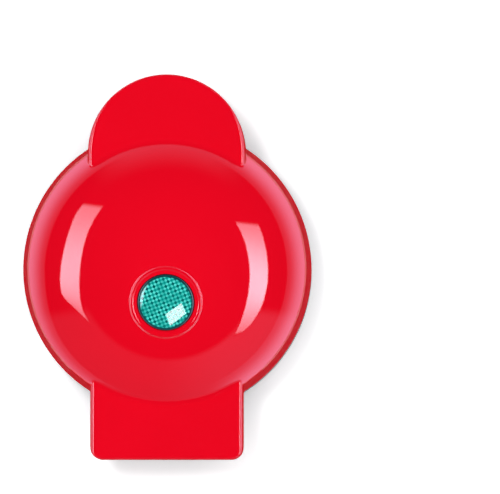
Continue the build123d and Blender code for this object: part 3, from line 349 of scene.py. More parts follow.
@dataclass(frozen=True)
class Metal:
    """Metal with drawn or rolled lines and a little tarnish."""

    name: str
    tone: tuple[float, float, float]
    tarnish: tuple[float, float, float]
    roughness: float
    lines: tuple[float, float, float]

    def make(self) -> bpy.types.Material:
        """Builds the material."""
        bench = Bench.named(self.name)
        drawn = bench.noise(0.0012, 3.0, bench.turned((0, 0, 0), (0, 0, 0), self.lines))
        stain = bench.noise(0.011, 4.0).ramp(0.45, 0.75)
        tone = bench.mix(stain * 0.7, self.tone, self.tarnish)
        rough = drawn.ramp(0.3, 0.7, self.roughness * 0.8, self.roughness * 1.25) + stain * 0.08
        return bench.finish({"Base Color": tone, "Metallic": 1.0, "Roughness": rough,
                             "Normal": bench.relief(drawn, 0.00001)})


@dataclass(frozen=True)
class SoftRubber:
    """Matt rubber or silicone with dust in its pores."""

    name: str
    tone: tuple[float, float, float]
    dust: tuple[float, float, float]
    roughness: float

    def make(self) -> bpy.types.Material:
        """Builds the material."""
        bench = Bench.named(self.name)
        pores = bench.grains(0.0008).ramp(0.1, 0.6)
        dusty = bench.noise(0.006, 5.0).ramp(0.5, 0.8)
        tone = bench.mix(dusty * 0.5, self.tone, self.dust)
        rough = dusty.ramp(0.0, 1.0, self.roughness * 0.9, self.roughness)
        return bench.finish({"Base Color": tone, "Roughness": rough, "IOR": 1.45, "Sheen Weight": 0.15,
                             "Normal": bench.relief(pores, 0.00003)})


@dataclass(frozen=True)
class BraidedSleeve:
    """Woven glass-fibre sleeve."""

    name: str
    tone: tuple[float, float, float]
    light: tuple[float, float, float]
    strand: float

    def make(self) -> bpy.types.Material:
        """Builds the material."""
        bench = Bench.named(self.name)
        x, y, z = bench.axes()
        across = (x + y * 0.9 + z * 0.7) / self.strand
        along = (x - y * 0.9 + z * 0.5) / self.strand
        weave = across.fold(1.0) * along.fold(1.0)
        tone = bench.mix(weave.ramp(0.05, 0.7), self.tone, self.light)
        return bench.finish({"Base Color": tone, "Roughness": weave.ramp(0.0, 1.0, 0.85, 0.6),
                             "Normal": bench.relief(weave, 0.0001)})


@dataclass(frozen=True)
class BandedResistor:
    """Lacquered resistor body with plain rings."""

    name: str
    tone: tuple[float, float, float]
    ring: tuple[float, float, float]

    def make(self) -> bpy.types.Material:
        """Builds the material."""
        bench = Bench.named(self.name)
        x, _, _ = bench.axes()
        rings = (x / 0.0021).fold(1.0).ramp(0.7, 0.76)
        tone = bench.mix(rings, bench.mix(bench.noise(0.002), self.tone, scaled(self.tone, 0.8)), self.ring)
        return bench.finish({"Base Color": tone, "Roughness": rings.ramp(0.0, 1.0, 0.35, 0.5),
                             "Coat Weight": 0.4, "Coat Roughness": 0.1})


@dataclass(frozen=True)
class LampGlass:
    """Thin glass of the small lamp, with a faint glow colour inside."""

    name: str
    tone: tuple[float, float, float]

    def make(self) -> bpy.types.Material:
        """Builds the material."""
        bench = Bench.named(self.name)
        haze = bench.noise(0.003, 2.0).ramp(0.3, 0.7)
        tone = bench.mix(haze, self.tone, scaled(self.tone, 0.75))
        return bench.finish({"Base Color": tone, "Roughness": haze.ramp(0.0, 1.0, 0.04, 0.09), "IOR": 1.5,
                             "Transmission Weight": 0.6})


@dataclass(frozen=True)
class PrismLens:
    """Teal moulded lens: a smooth skin over a field of small square prisms.

    The prism pattern lies square to the lens axis, turned on that axis. Its bright windows are painted
    glints, and its dark pits and corner dots are painted shade.
    """

    name: str
    centre: tuple[float, float, float]
    tilt: float
    turn: float
    pitch: float
    radius: float
    body: tuple[float, float, float]
    # colour of the painted glints in the prisms' windows
    bright: tuple[float, float, float]
    # colour of the painted shade in the prisms' pits and corners
    dark: tuple[float, float, float]
    band: tuple[float, float, float] = (0.003, 0.060, 0.066)
    edge: tuple[float, float, float] = (0.003, 0.010, 0.014)
    phase: tuple[float, float] = (0.31, 0.18)
    pit: tuple[float, float] = (0.21, 0.25)
    window: tuple[float, float] = (0.28, 0.31)
    window_side: tuple[float, float] = (0.18, 0.22)
    dot: tuple[float, float] = (0.38, 0.43)
    band_at: tuple[float, float] = (0.87, 0.91)
    edge_at: tuple[float, float] = (0.95, 0.98)

    def make(self) -> bpy.types.Material:
        """Builds the material."""
        bench = Bench.named(self.name)
        flat = bench.turned(self.centre, (self.tilt, 0.0, 0.0))
        fx, fy, _ = bench.axes(flat)
        reach = (fx * fx + fy * fy) ** 0.5
        c, s = math.cos(self.turn), math.sin(self.turn)
        u = (fx * c + fy * s) / self.pitch + self.phase[0]
        v = (fy * c - fx * s) / self.pitch + self.phase[1]
        cell_u, cell_v = (u + 0.5).whole(), (v + 0.5).whole()
        near_u, near_v = abs(u - cell_u), abs(v - cell_v)
        far, near = near_u.most(near_v), near_u.least(near_v)
        code = bench.node("ShaderNodeCombineXYZ", {}, {0: (u * 2.0).whole(), 1: (v * 2.0).whole(), 2: 0.0})
        chance = bench.node("ShaderNodeTexWhiteNoise", {"noise_dimensions": "2D"}, {"Vector": code})
        drift = bench.noise(0.008, 1.0, flat).ramp(0.35, 0.65)
        # the pits and the corner dots are painted shade in the prisms
        pit_shade = far.ramp(*self.pit, 1.0, 0.0)
        # the windows here are painted glints of light in the prisms, brighter or dimmer at random
        glint_windows = far.ramp(*self.window) * near.ramp(*self.window_side, 1.0, 0.0)
        dot_shade = near.ramp(*self.dot)
        painted_glints = glint_windows * (chance * 0.5 + drift * 0.6).ramp(0.2, 0.8, 0.35, 1.0)
        tone = bench.mix(painted_glints, self.body, self.bright)
        tone = bench.mix(pit_shade * (chance * 0.3 + drift * 0.3 + 0.5) + dot_shade * 0.7, tone, self.dark)
        tone = bench.mix(reach.ramp(*scaled(self.band_at, self.radius)), tone, self.band)
        tone = bench.mix(reach.ramp(*scaled(self.edge_at, self.radius)), tone, self.edge)
        facets = bench.relief(far, 0.0003)
        return bench.finish({"Base Color": tone, "Roughness": 0.4, "IOR": 1.49, "Specular IOR Level": 0.0,
                             "Coat Weight": 1.0, "Coat Roughness": 0.02, "Coat IOR": 1.5, "Normal": facets})


class Finish(Enum):
    """The finish of each material slot."""

    RED_CASE = GlossPlastic("red_case", (0.81, 0.0021, 0.0140), (0.77, 0.0019, 0.0125),
                            roughness=0.30, dull=0.04, ripple=0.0000012)
    BLACK_CASE = GrainedPlastic("black_case", (0.007, 0.007, 0.008), (0.012, 0.012, 0.013),
                                roughness=0.36, grain=0.0012, depth=0.00002, shine=0.25)
    BLACK_LINER = GrainedPlastic("black_liner", (0.016, 0.016, 0.017), (0.026, 0.026, 0.027),
                                 roughness=0.62, grain=0.0010, depth=0.00004)
    PLATE_COATING = NonStickCoating("plate_coating", (0.020, 0.020, 0.021), (0.16, 0.16, 0.165))
    ELEMENT_STEEL = Metal("element_steel", (0.34, 0.31, 0.28), (0.16, 0.12, 0.10), 0.42, (1.0, 1.0, 1.0))
    BRIGHT_STEEL = Metal("bright_steel", (0.62, 0.62, 0.63), (0.42, 0.41, 0.40), 0.26, (1.0, 1.0, 0.15))
    REFLECTOR_SHEET = Metal("reflector_sheet", (0.78, 0.79, 0.80), (0.60, 0.60, 0.59), 0.3, (12.0, 0.6, 1.0))
    WHITE_PLASTIC = GrainedPlastic("white_plastic", (0.74, 0.73, 0.70), (0.80, 0.79, 0.77),
                                   roughness=0.45, grain=0.0009, depth=0.00001)
    LAMP_GLASS = LampGlass("lamp_glass", (0.86, 0.78, 0.68))
    RESISTOR_BODY = BandedResistor("resistor_body", (0.62, 0.50, 0.32), (0.25, 0.10, 0.03))
    THERMOSTAT_CASE = GrainedPlastic("thermostat_case", (0.05, 0.038, 0.030), (0.08, 0.06, 0.05),
                                     roughness=0.5, grain=0.0007, depth=0.00003)
    FOOT_RUBBER = SoftRubber("foot_rubber", (0.020, 0.020, 0.020), (0.08, 0.078, 0.074), 0.8)
    LEAD_SLEEVE = BraidedSleeve("lead_sleeve", (0.016, 0.016, 0.016), (0.10, 0.10, 0.095), 0.0007)
    WIRE_INSULATION = SoftRubber("wire_insulation", (0.66, 0.63, 0.56), (0.50, 0.47, 0.40), 0.5)
    # the lens's bright colour paints glints and its dark colour paints shade in the prisms
    LENS_TEAL = PrismLens("lens_teal", centre=(0.0, LENS_Y * MM, 68.8 * MM),
                          tilt=math.radians(9.34), turn=math.radians(-25.5), pitch=2.3 * MM, radius=12.5 * MM,
                          body=(0.006, 0.36, 0.31), bright=(0.10, 0.76, 0.68), dark=(0.0, 0.075, 0.075))


def dress(piece: bpy.types.Object, material: bpy.types.Material) -> None:
    """Gives a piece one material in all its slots."""
    if not piece.data.materials:
        piece.data.materials.append(material)
    for index in range(len(piece.data.materials)):
        piece.data.materials[index] = material


def piece_of(name: str, mesh: bmesh.types.BMesh, smooth: bool = True) -> bpy.types.Object:
    """Turns a bmesh into an object at the origin.

    Args:
        name: the object's name.
        mesh: the bmesh, in metres; it is freed.
        smooth: whether its faces are shaded smooth.

    Returns:
        The linked object.
    """
    for face in mesh.faces:
        face.smooth = smooth
    data = bpy.data.meshes.new(name)
    mesh.to_mesh(data)
    mesh.free()
    made = bpy.data.objects.new(name, data)
    bpy.context.scene.collection.objects.link(made)
    return made


def turn_line(mesh: bmesh.types.BMesh, places: list[tuple], steps: int) -> None:
    """Spins a line once round the upright axis.

    Args:
        mesh: the bmesh that gets it.
        places: the line's points in order.
        steps: how many steps the full turn has.
    """
    line = [mesh.verts.new(place) for place in places]
    edges = [mesh.edges.new(pair) for pair in zip(line, line[1:])]
    bmesh.ops.spin(mesh, geom=line + edges, cent=(0, 0, 0), axis=(0, 0, 1), dvec=(0, 0, 0),
                   angle=2 * math.pi, steps=steps, use_merge=True, use_duplicate=False)


# Lid


@dataclass
class LidCase:
    """Red lid case: dome, skirt, hinge hood and handle tab in one moulding, with soft blends.

    Sizes are in millimetres.
    """

    floor: float = 37.0
    rim: float = 63.0
    lean: float = 2.3
    skirt: float = 10.85
    dome: float = DOME
    dome_centre: float = DOME_CENTRE
    crease_ease: float = 0.5
    hood_radius: float = 34.4
    hood_y: float = 50.3
    hood_top: float = 52.2
    tab_half: float = 33.4
    tab_front: float = 83.2
    tab_corner: float = 5.3
    tab_top: float = 49.8
    edge: float = 2.6
    back_edge: float = 0.9
    hood_edge_span: tuple[float, float] = (22.0, 3.0)
    tab_edge_span: tuple[float, float] = (5.0, 1.0)
    blend: float = 0.9
    wall_blend: float = 0.25
    blend_span: tuple[float, float] = (0.5, 6.0)
    hole: float = 12.65
    seat: float = 15.0
    seat_depth: float = 3.0
    wall: float = 2.1
    bead: float = 14.9
    bead_section: float = 0.9
    bead_sink: float = 0.35
    bead_blend: float = 0.35
    ray_span: tuple[float, float] = (5.0, 130.0)
    ray_halvings: int = 44
    floor_climbs: tuple[float, float, float] = (0.0, 6.0, 1.0)
    wall_climbs: tuple[float, float, float] = (6.0, 18.6, 0.24)
    hole_radii: tuple[float, float] = (16.6, 0.22)
    dome_radii: tuple[float, float, int] = (17.0, 51.6, 34)
    lining_radii: tuple[float, ...] = (20.0, 30.0, 42.0)
    lining_climbs: tuple[float, ...] = (18.0, 15.0, 12.0, 10.0, 8.0, 6.0, 3.0, 0.0)
    lens_rings: float = 20.0
    centred_ring: float = 52.0
    centring: float = 1.6
    hood_zone: float = 40.0
    tab_zone: float = 44.0
    front_zone: float = 3.0
    edge_zone: float = 3.2
    crease_rise: tuple[float, float] = (0.28, 0.44)
    edge_rise: tuple[float, float] = (0.50, 0.66)
    steps: int = 600

    def outside(self, p: np.ndarray) -> np.ndarray:
        """How far places lie outside the case, negative inside.

        Args:
            p: places in millimetres, one per row.

        Returns:
            Distances in millimetres.
        """
        x, y, z = p[:, 0], p[:, 1], p[:, 2]
        away = np.hypot(x, y)
        sphere = np.sqrt(away ** 2 + (z - self.dome_centre) ** 2) - self.dome
        slope = self.lean / self.skirt
        cone = (away - self.rim + slope * (z - self.floor)) / math.hypot(1.0, slope)
        round_body = eased_most(sphere, cone, self.crease_ease)
        hood_plan = np.where(y > self.hood_y, np.hypot(x, y - self.hood_y), np.abs(x)) - self.hood_radius
        hood_plan = np.maximum(hood_plan, -y)
        hood_edge = eased_step(y - self.hood_y, *self.hood_edge_span, self.back_edge, self.edge)
        hood = eased_most(hood_plan, z - self.hood_top, hood_edge)
        qx = np.abs(x) - (self.tab_half - self.tab_corner)
        qy = -y - (self.tab_front - self.tab_corner)
        corner = np.hypot(np.maximum(qx, 0), np.maximum(qy, 0))
        tab_plan = corner + np.minimum(np.maximum(qx, qy), 0) - self.tab_corner
        tab_plan = np.maximum(tab_plan, y)
        first, last = (self.tab_front - span for span in self.tab_edge_span)
        tab_edge = eased_step(-y, first, last, self.edge, self.back_edge)
        tab = eased_most(tab_plan, z - self.tab_top, tab_edge)
        hood_blend = eased_step(-hood_plan, *self.blend_span, self.wall_blend, self.blend)
        tab_blend = eased_step(-tab_plan, *self.blend_span, self.wall_blend, self.blend)
        shape = eased_least(eased_least(round_body, hood, hood_blend), tab, tab_blend)
        axis_x, axis_y, axis_z = self.on_lens_axis(p)
        sunk = self.dome - math.sqrt(self.dome ** 2 - self.bead ** 2) + self.bead_sink
        ring = np.hypot(np.hypot(axis_x, axis_y) - self.bead, axis_z + sunk) - self.bead_section
        return eased_least(shape, ring, self.bead_blend)

    def on_lens_axis(self, p: np.ndarray) -> tuple[np.ndarray, np.ndarray, np.ndarray]:
        """Places measured from where the lens axis leaves the dome."""
        y = p[:, 1] - LENS_Y
        z = p[:, 2] - (self.dome_centre + self.dome * LENS_COSINE)
        return p[:, 0], y * LENS_COSINE - z * LENS_SINE, y * LENS_SINE + z * LENS_COSINE

    def reach(self, along: np.ndarray, sink: np.ndarray) -> np.ndarray:
        """Finds the skin along rays from the middle of the lid's floor.

        Args:
            along: unit directions, one per row.
            sink: how deep under the outside each place lies.

        Returns:
            Places in millimetres.
        """
        start = np.array([0.0, 0.0, self.floor])
        near, far = (np.full(len(along), length) for length in self.ray_span)
        for _ in range(self.ray_halvings):
            middle = (near + far) / 2
            inside = self.outside(start + along * middle[:, None]) + sink < 0
            near = np.where(inside, middle, near)
            far = np.where(inside, far, middle)
        return start + along * near[:, None]

    def normals(self, p: np.ndarray) -> np.ndarray:
        """Outward directions of the skin at places on it."""
        step = 0.01
        slopes = [self.outside(p + shift) - self.outside(p - shift) for shift in np.eye(3) * step]
        sides = np.stack(slopes, axis=1)
        return sides / np.linalg.norm(sides, axis=1)[:, None]

    def rays(self, rings: list[tuple[str, float]], angles: np.ndarray) -> np.ndarray:
        """Directions of a set of rings.

        Args:
            rings: each ring as ("climb", degrees above the floor) or ("lens", radius round the lens).
            angles: the angles round the axis, in radians.

        Returns:
            Unit directions, ring by ring.
        """
        rows = []
        for kind, value in rings:
            if kind == "climb":
                climb = math.radians(value)
                rows.append(np.stack([np.cos(angles) * math.cos(climb), np.sin(angles) * math.cos(climb),
                                      np.full(len(angles), math.sin(climb))], axis=1))
                continue
            ease = min(1.0, (value - self.hole) / (self.centred_ring - self.hole))
            middle = LENS_Y * (1 - ease ** self.centring)
            foreshortened = LENS_COSINE if value < self.lens_rings else 1.0
            x, y = value * np.cos(angles), middle + value * np.sin(angles) * foreshortened
            z = self.dome_centre + np.sqrt(self.dome ** 2 - x ** 2 - y ** 2)
            away = np.stack([x, y, z - self.floor], axis=1)
            rows.append(away / np.linalg.norm(away, axis=1)[:, None])
        return np.concatenate(rows)

    def outer_rings(self) -> list[tuple[str, float]]:
        """Rings of the outer skin, from the floor up to the lens hole."""
        climbs = [*np.arange(*self.floor_climbs), *np.arange(*self.wall_climbs)]
        radii = [*np.arange(self.hole, *self.hole_radii), *np.geomspace(*self.dome_radii)]
        return [("climb", value) for value in climbs] + [("lens", float(value)) for value in reversed(radii)]

    def inner_rings(self) -> list[tuple[str, float]]:
        """Rings of the inner skin, from the lens hole down to the floor."""
        radii = (self.hole, self.seat - 0.05, self.seat + 0.05, *self.lining_radii)
        return [("lens", value) for value in radii] + [("climb", value) for value in self.lining_climbs]

    def make(self, material: bpy.types.Material) -> bpy.types.Object:
        """Builds the case.

        Args:
            material: its finish.

        Returns:
            The closed case as one object.
        """
        outer, inner = self.outer_rings(), self.inner_rings()
        mesh = bmesh.new()
        turn_line(mesh, [(1.0 + index, 0.0, 0.0) for index in range(len(outer) + len(inner))], self.steps)
        mesh.verts.ensure_lookup_table()
        marks = np.array([vert.co for vert in mesh.verts])
        order = np.rint(np.hypot(marks[:, 0], marks[:, 1])).astype(int) - 1
        share = np.arctan2(marks[:, 1], marks[:, 0]) / (2 * math.pi)
        turn = np.rint(share * self.steps).astype(int) % self.steps
        angles = np.arange(self.steps) * 2 * math.pi / self.steps
        skin = self.reach(self.rays(outer, angles), np.zeros(len(outer) * self.steps))
        lining_rays = self.rays(inner, angles)
        lining = self.reach(lining_rays, np.full(len(lining_rays), self.wall))
        side_x, side_y, _ = self.on_lens_axis(lining)
        seated = self.reach(lining_rays, np.full(len(lining_rays), self.seat_depth))
        lining = np.where((np.hypot(side_x, side_y) < self.seat)[:, None], seated, lining)
        places = np.concatenate([skin, lining])
        rows = order * self.steps + turn
        for vert, row in zip(mesh.verts, rows):
            vert.co = Vector(places[row]) * MM
        floor = [edge for edge in mesh.edges if edge.is_boundary]
        bmesh.ops.bridge_loops(mesh, edges=floor)
        bmesh.ops.recalc_face_normals(mesh, faces=mesh.faces)
        mesh.verts.index_update()
        made = piece_of("lid_case", mesh)
        shape_normals = np.zeros((len(places), 3))
        shape_normals[:len(skin)] = self.normals(skin)
        self.set_normals(made.data, rows, shape_normals, len(skin))
        polish = made.data.attributes.new("polish", "FLOAT", "POINT")
        polish.data.foreach_set("value", self.gloss(places, shape_normals)[rows].astype(np.float32))
        dress(made, material)
        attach(made, "lid")
        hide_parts("lid_shell")
        return made

    def gloss(self, places: np.ndarray, normals: np.ndarray) -> np.ndarray:
        """How polished the skin is: fully on top, dull on the skirt, the walls and the walls' upper edges.

        Args:
            places: places on the skin, in millimetres.
            normals: the outward direction at each.

        Returns:
            One share from 0 to 1 for each place.
        """
        x, y, z = places[:, 0], places[:, 1], places[:, 2]
        at_hood = (y > self.hood_zone) & (z > self.hood_top - self.edge_zone)
        at_side = np.abs(x) > self.tab_half - self.edge_zone
        at_tab = (y < -self.tab_zone) & (z > self.tab_top - self.edge_zone) & at_side
        at_front = y < -self.rim - self.front_zone
        crease = eased_step(normals[:, 2], *self.crease_rise, 0.0, 1.0)
        edges = eased_step(normals[:, 2], *self.edge_rise, 0.0, 1.0)
        return np.where(at_hood | at_tab | at_front, edges, crease)

    @staticmethod
    def set_normals(data: bpy.types.Mesh, rows: np.ndarray, normals: np.ndarray, skin: int) -> None:
        """Gives the outer skin the shape's own normals, and flat ones to the rest.

        Args:
            data: the case's mesh.
            rows: the row of each vertex in the list of normals.
            normals: the outward direction of each row.
            skin: how many rows belong to the outer skin.
        """
        count = len(data.loops)
        owner = np.zeros(count, dtype=np.int32)
        data.loops.foreach_get("vertex_index", owner)
        starts = np.zeros(len(data.polygons), dtype=np.int32)
        totals = np.zeros(len(data.polygons), dtype=np.int32)
        flat = np.zeros(len(data.polygons) * 3, dtype=np.float32)
        data.polygons.foreach_get("loop_start", starts)
        data.polygons.foreach_get("loop_total", totals)
        data.polygons.foreach_get("normal", flat)
        face_of = np.zeros(count, dtype=np.int64)
        for corner in range(int(totals.max())):
            has = totals > corner
            face_of[starts[has] + corner] = np.nonzero(has)[0]
        on_skin = rows[owner] < skin
        whole = np.ones(len(data.polygons), dtype=bool)
        np.logical_and.at(whole, face_of, on_skin)
        chosen = np.where(whole[face_of][:, None], normals[rows[owner]], flat.reshape(-1, 3)[face_of])
        data.normals_split_custom_set(chosen.tolist())


def eased_most(first: np.ndarray, second: np.ndarray, radius: object) -> np.ndarray:
    """Both shapes together cut to what they share, with a rounded edge."""
    out = np.hypot(np.maximum(first + radius, 0), np.maximum(second + radius, 0))
    return np.minimum(np.maximum(first, second), -radius) + out


def eased_least(first: np.ndarray, second: np.ndarray, radius: object) -> np.ndarray:
    """Either shape, with a hollow blend where they meet."""
    out = np.hypot(np.maximum(radius - first, 0), np.maximum(radius - second, 0))
    return np.maximum(np.minimum(first, second), radius) - out


def eased_step(value: np.ndarray, low: float, high: float, first: float, last: float) -> np.ndarray:
    """Smooth step of an array from first, at low, to last, at high."""
    part = np.clip((value - low) / (high - low), 0.0, 1.0)
    return first + (last - first) * part * part * (3 - 2 * part)


@dataclass
class LensCap:
    """Crowned indicator lens with its flange under the dome, in millimetres."""

    radius: float = 12.5
    crown: float = 1.2
    edge_sink: float = -0.3
    edge_round: float = 0.9
    edge_drop: float = 1.3
    flange: float = 14.2
    seat: float = 3.0
    flange_depth: float = 1.2
    bore: float = 10.6
    thick: float = 1.2
    thick_edge: float = 1.6
    crown_rings: int = 27
    shoulder_rings: int = 8
    steps: int = 160

    def edge_height(self) -> float:
        """How far the crown's edge stands over the dome's highest point on the lens axis."""
        return math.sqrt(DOME ** 2 - self.radius ** 2) - DOME - self.edge_sink

    def bend(self) -> float:
        """Radius of the ball that the crown is part of."""
        return (self.radius ** 2 + self.crown ** 2) / (2 * self.crown)

    def profile(self) -> list[tuple[float, float]]:
        """Closed outline from the middle of the crown round to the middle of its underside."""
        edge, bend = self.edge_height(), self.bend()
        rows = []
        shoulder = self.radius - self.edge_round
        for index in range(self.crown_rings + 1):
            away = shoulder * index / self.crown_rings
            rows.append((away, edge + self.crown - bend + math.sqrt(bend ** 2 - away ** 2)))
        start = math.asin(shoulder / bend)
        last = rows[-1]
        for index in range(1, self.shoulder_rings + 1):
            turn = start + index / self.shoulder_rings * (math.pi / 2 - start)
            part = (math.sin(turn) - math.sin(start)) / (1 - math.sin(start))
            fall = (math.cos(start) - math.cos(turn)) / math.cos(start)
            rows.append((last[0] + self.edge_round * part, last[1] - self.edge_drop * fall))
        low = -self.seat - self.flange_depth
        rows += [(self.radius, -self.seat), (self.flange, -self.seat), (self.flange, low), (self.bore, low),
                 (self.bore, edge - self.thick_edge), (0.0, edge - self.thick)]
        return rows

    def ball(self) -> tuple[Vector, float]:
        """Centre and radius, in millimetres, of the ball that the crown is part of."""
        axis = Vector((0.0, LENS_SINE, LENS_COSINE))
        top = DOME + self.edge_height() + self.crown
        return Vector((0.0, 0.0, DOME_CENTRE)) + axis * (top - self.bend()), self.bend()

    def make(self, material: bpy.types.Material) -> bpy.types.Object:
        """Builds the lens by turning its outline round the lens axis.

        Args:
            material: its finish.

        Returns:
            The lens as one object.
        """
        mesh = bmesh.new()
        turn_line(mesh, [(away * MM, 0.0, height * MM) for away, height in self.profile()], self.steps)
        bmesh.ops.remove_doubles(mesh, verts=mesh.verts, dist=1e-7)
        bmesh.ops.recalc_face_normals(mesh, faces=mesh.faces)
        place = Matrix.Translation((0.0, LENS_Y * MM, (DOME_CENTRE + DOME * LENS_COSINE) * MM))
        lean = Matrix.Rotation(-math.asin(LENS_SINE), 4, "X")
        bmesh.ops.transform(mesh, matrix=place @ lean, verts=mesh.verts)
        made = piece_of("indicator_lens_cap", mesh)
        made.data.set_sharp_from_angle(angle=math.radians(40))
        dress(made, material)
        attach(made, "lid")
        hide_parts("indicator_lens")
        return made


# Stage


@dataclass(frozen=True)
class View:
    """The photograph's viewing angle, in metres.

    Other views clip at 100 times the object's radius, so the camera stays nearer than about 10 m.
    """

    target: tuple[float, float, float] = (0.0361, 0.0098, 0.037)
    toward: tuple[float, float, float] = (0.017, -0.0288, 1.0)
    distance: float = 6.0
    width: float = 0.2184
    clip_end: float = 20.0

    def direction(self) -> Vector:
        """From the object to the camera."""
        return Vector(self.toward).normalized()

    def axes(self) -> tuple[Vector, Vector, Vector]:
        """Right, up and back of the picture."""
        back = self.direction()
        right = Vector((0, 1, 0)).cross(back).normalized()
        return right, back.cross(right), back

    def on_ball(self, across: float, down: float, centre: Vector, radius: float) -> Vector:
        """Finds the place of a ball behind a point of the picture.

        Args:
            across: the point's distance from the left of the 500 x 494 picture.
            down: its distance from the top.
            centre: the ball's centre, in metres.
            radius: its radius, in metres.

        Returns:
            The place on the near side of the ball.
        """
        right, up, back = self.axes()
        step = self.width / PICTURE[0]
        eye = Vector(self.target) + back * self.distance
        aside, above = (across - PICTURE[0] / 2) * step, (PICTURE[1] / 2 - down) * step
        aim = Vector(self.target) + right * aside + up * above
        ray = (aim - eye).normalized()
        gap = eye - centre
        half = ray.dot(gap)
        return eye + ray * (-half - math.sqrt(max(0.0, half * half - gap.length_squared + radius * radius)))

    def place_camera(self) -> None:
        """Adds the camera and makes it the scene's own."""
        data = bpy.data.cameras.new("camera")
        data.sensor_width = SENSOR
        data.lens = SENSOR * self.distance / self.width
        data.clip_end = self.clip_end
        camera = bpy.data.objects.new("camera", data)
        right, up, back = self.axes()
        turn = Matrix((right, up, back)).transposed().to_4x4()
        camera.matrix_world = Matrix.Translation(Vector(self.target) + back * self.distance) @ turn
        bpy.context.scene.collection.objects.link(camera)
        bpy.context.scene.camera = camera


@dataclass(frozen=True)
class Card:
    """A glowing card whose mirror image on a ball of the object fills a patch of the picture.

    Each row gives the left and right end of the patch, in points of the 500 x 494 picture.
    """

    name: str
    rows: tuple
    strength: float
    ends: tuple[float, float]
    fade: float
    tint: tuple[float, float, float] = (1.0, 0.9, 1.08)
    distance: float = 0.9
    columns: int = 5

    def make(self, view: View, centre: Vector, radius: float) -> bpy.types.Object:
        """Builds the card.

        Args:
            view: the photograph's viewing angle.
            centre: the centre of the ball that mirrors it, in millimetres.
            radius: the ball's radius, in millimetres.

        Returns:
            The card, seen only in what mirrors it.
        """
        mesh = bmesh.new()
        gaps, steps = len(self.rows) - 1, self.columns - 1
        bmesh.ops.create_grid(mesh, x_segments=steps, y_segments=gaps, size=1.0)
        layer = mesh.loops.layers.uv.new("card")
        marks = {}
        for vert in mesh.verts:
            part = round((vert.co.x + 1) / 2 * steps) / steps
            row = round((vert.co.y + 1) / 2 * gaps)
            left, top, right, bottom = self.rows[row]
            marks[vert] = (part, row / gaps)
            spot = view.on_ball(left + (right - left) * part, top + (bottom - top) * part,
                                centre * MM, radius * MM)
            out = (spot - centre * MM).normalized()
            vert.co = spot - view.direction().reflect(out) * self.distance
        for face in mesh.faces:
            for loop in face.loops:
                loop[layer].uv = marks[loop.vert]
        made = piece_of(self.name, mesh)
        dress(made, self.glow())
        for kind in ("camera", "diffuse", "shadow", "transmission", "volume_scatter"):
            setattr(made, f"visible_{kind}", False)
        return made

    def glow(self) -> bpy.types.Material:
        """Glow that is strongest in the middle and stops softly at the card's edges."""
        bench = Bench.named(self.name)
        spot = bench.node("ShaderNodeUVMap", {"uv_map": "card"}, {})
        u, v, _ = bench.axes(spot)
        side = u.least(1.0 - u).ramp(0.0, self.fade)
        end = v.least(1.0 - v).ramp(0.0, self.fade * 0.6)
        first, last = self.ends
        swell = v.ramp(0.0, 0.5, first, 1.0) * v.ramp(0.55, 1.0, 1.0, last)
        power = side * end * swell * self.strength
        shader = bench.node("ShaderNodeEmission", {}, {"Color": (*self.tint, 1.0), "Strength": power})
        return bench.end(shader)


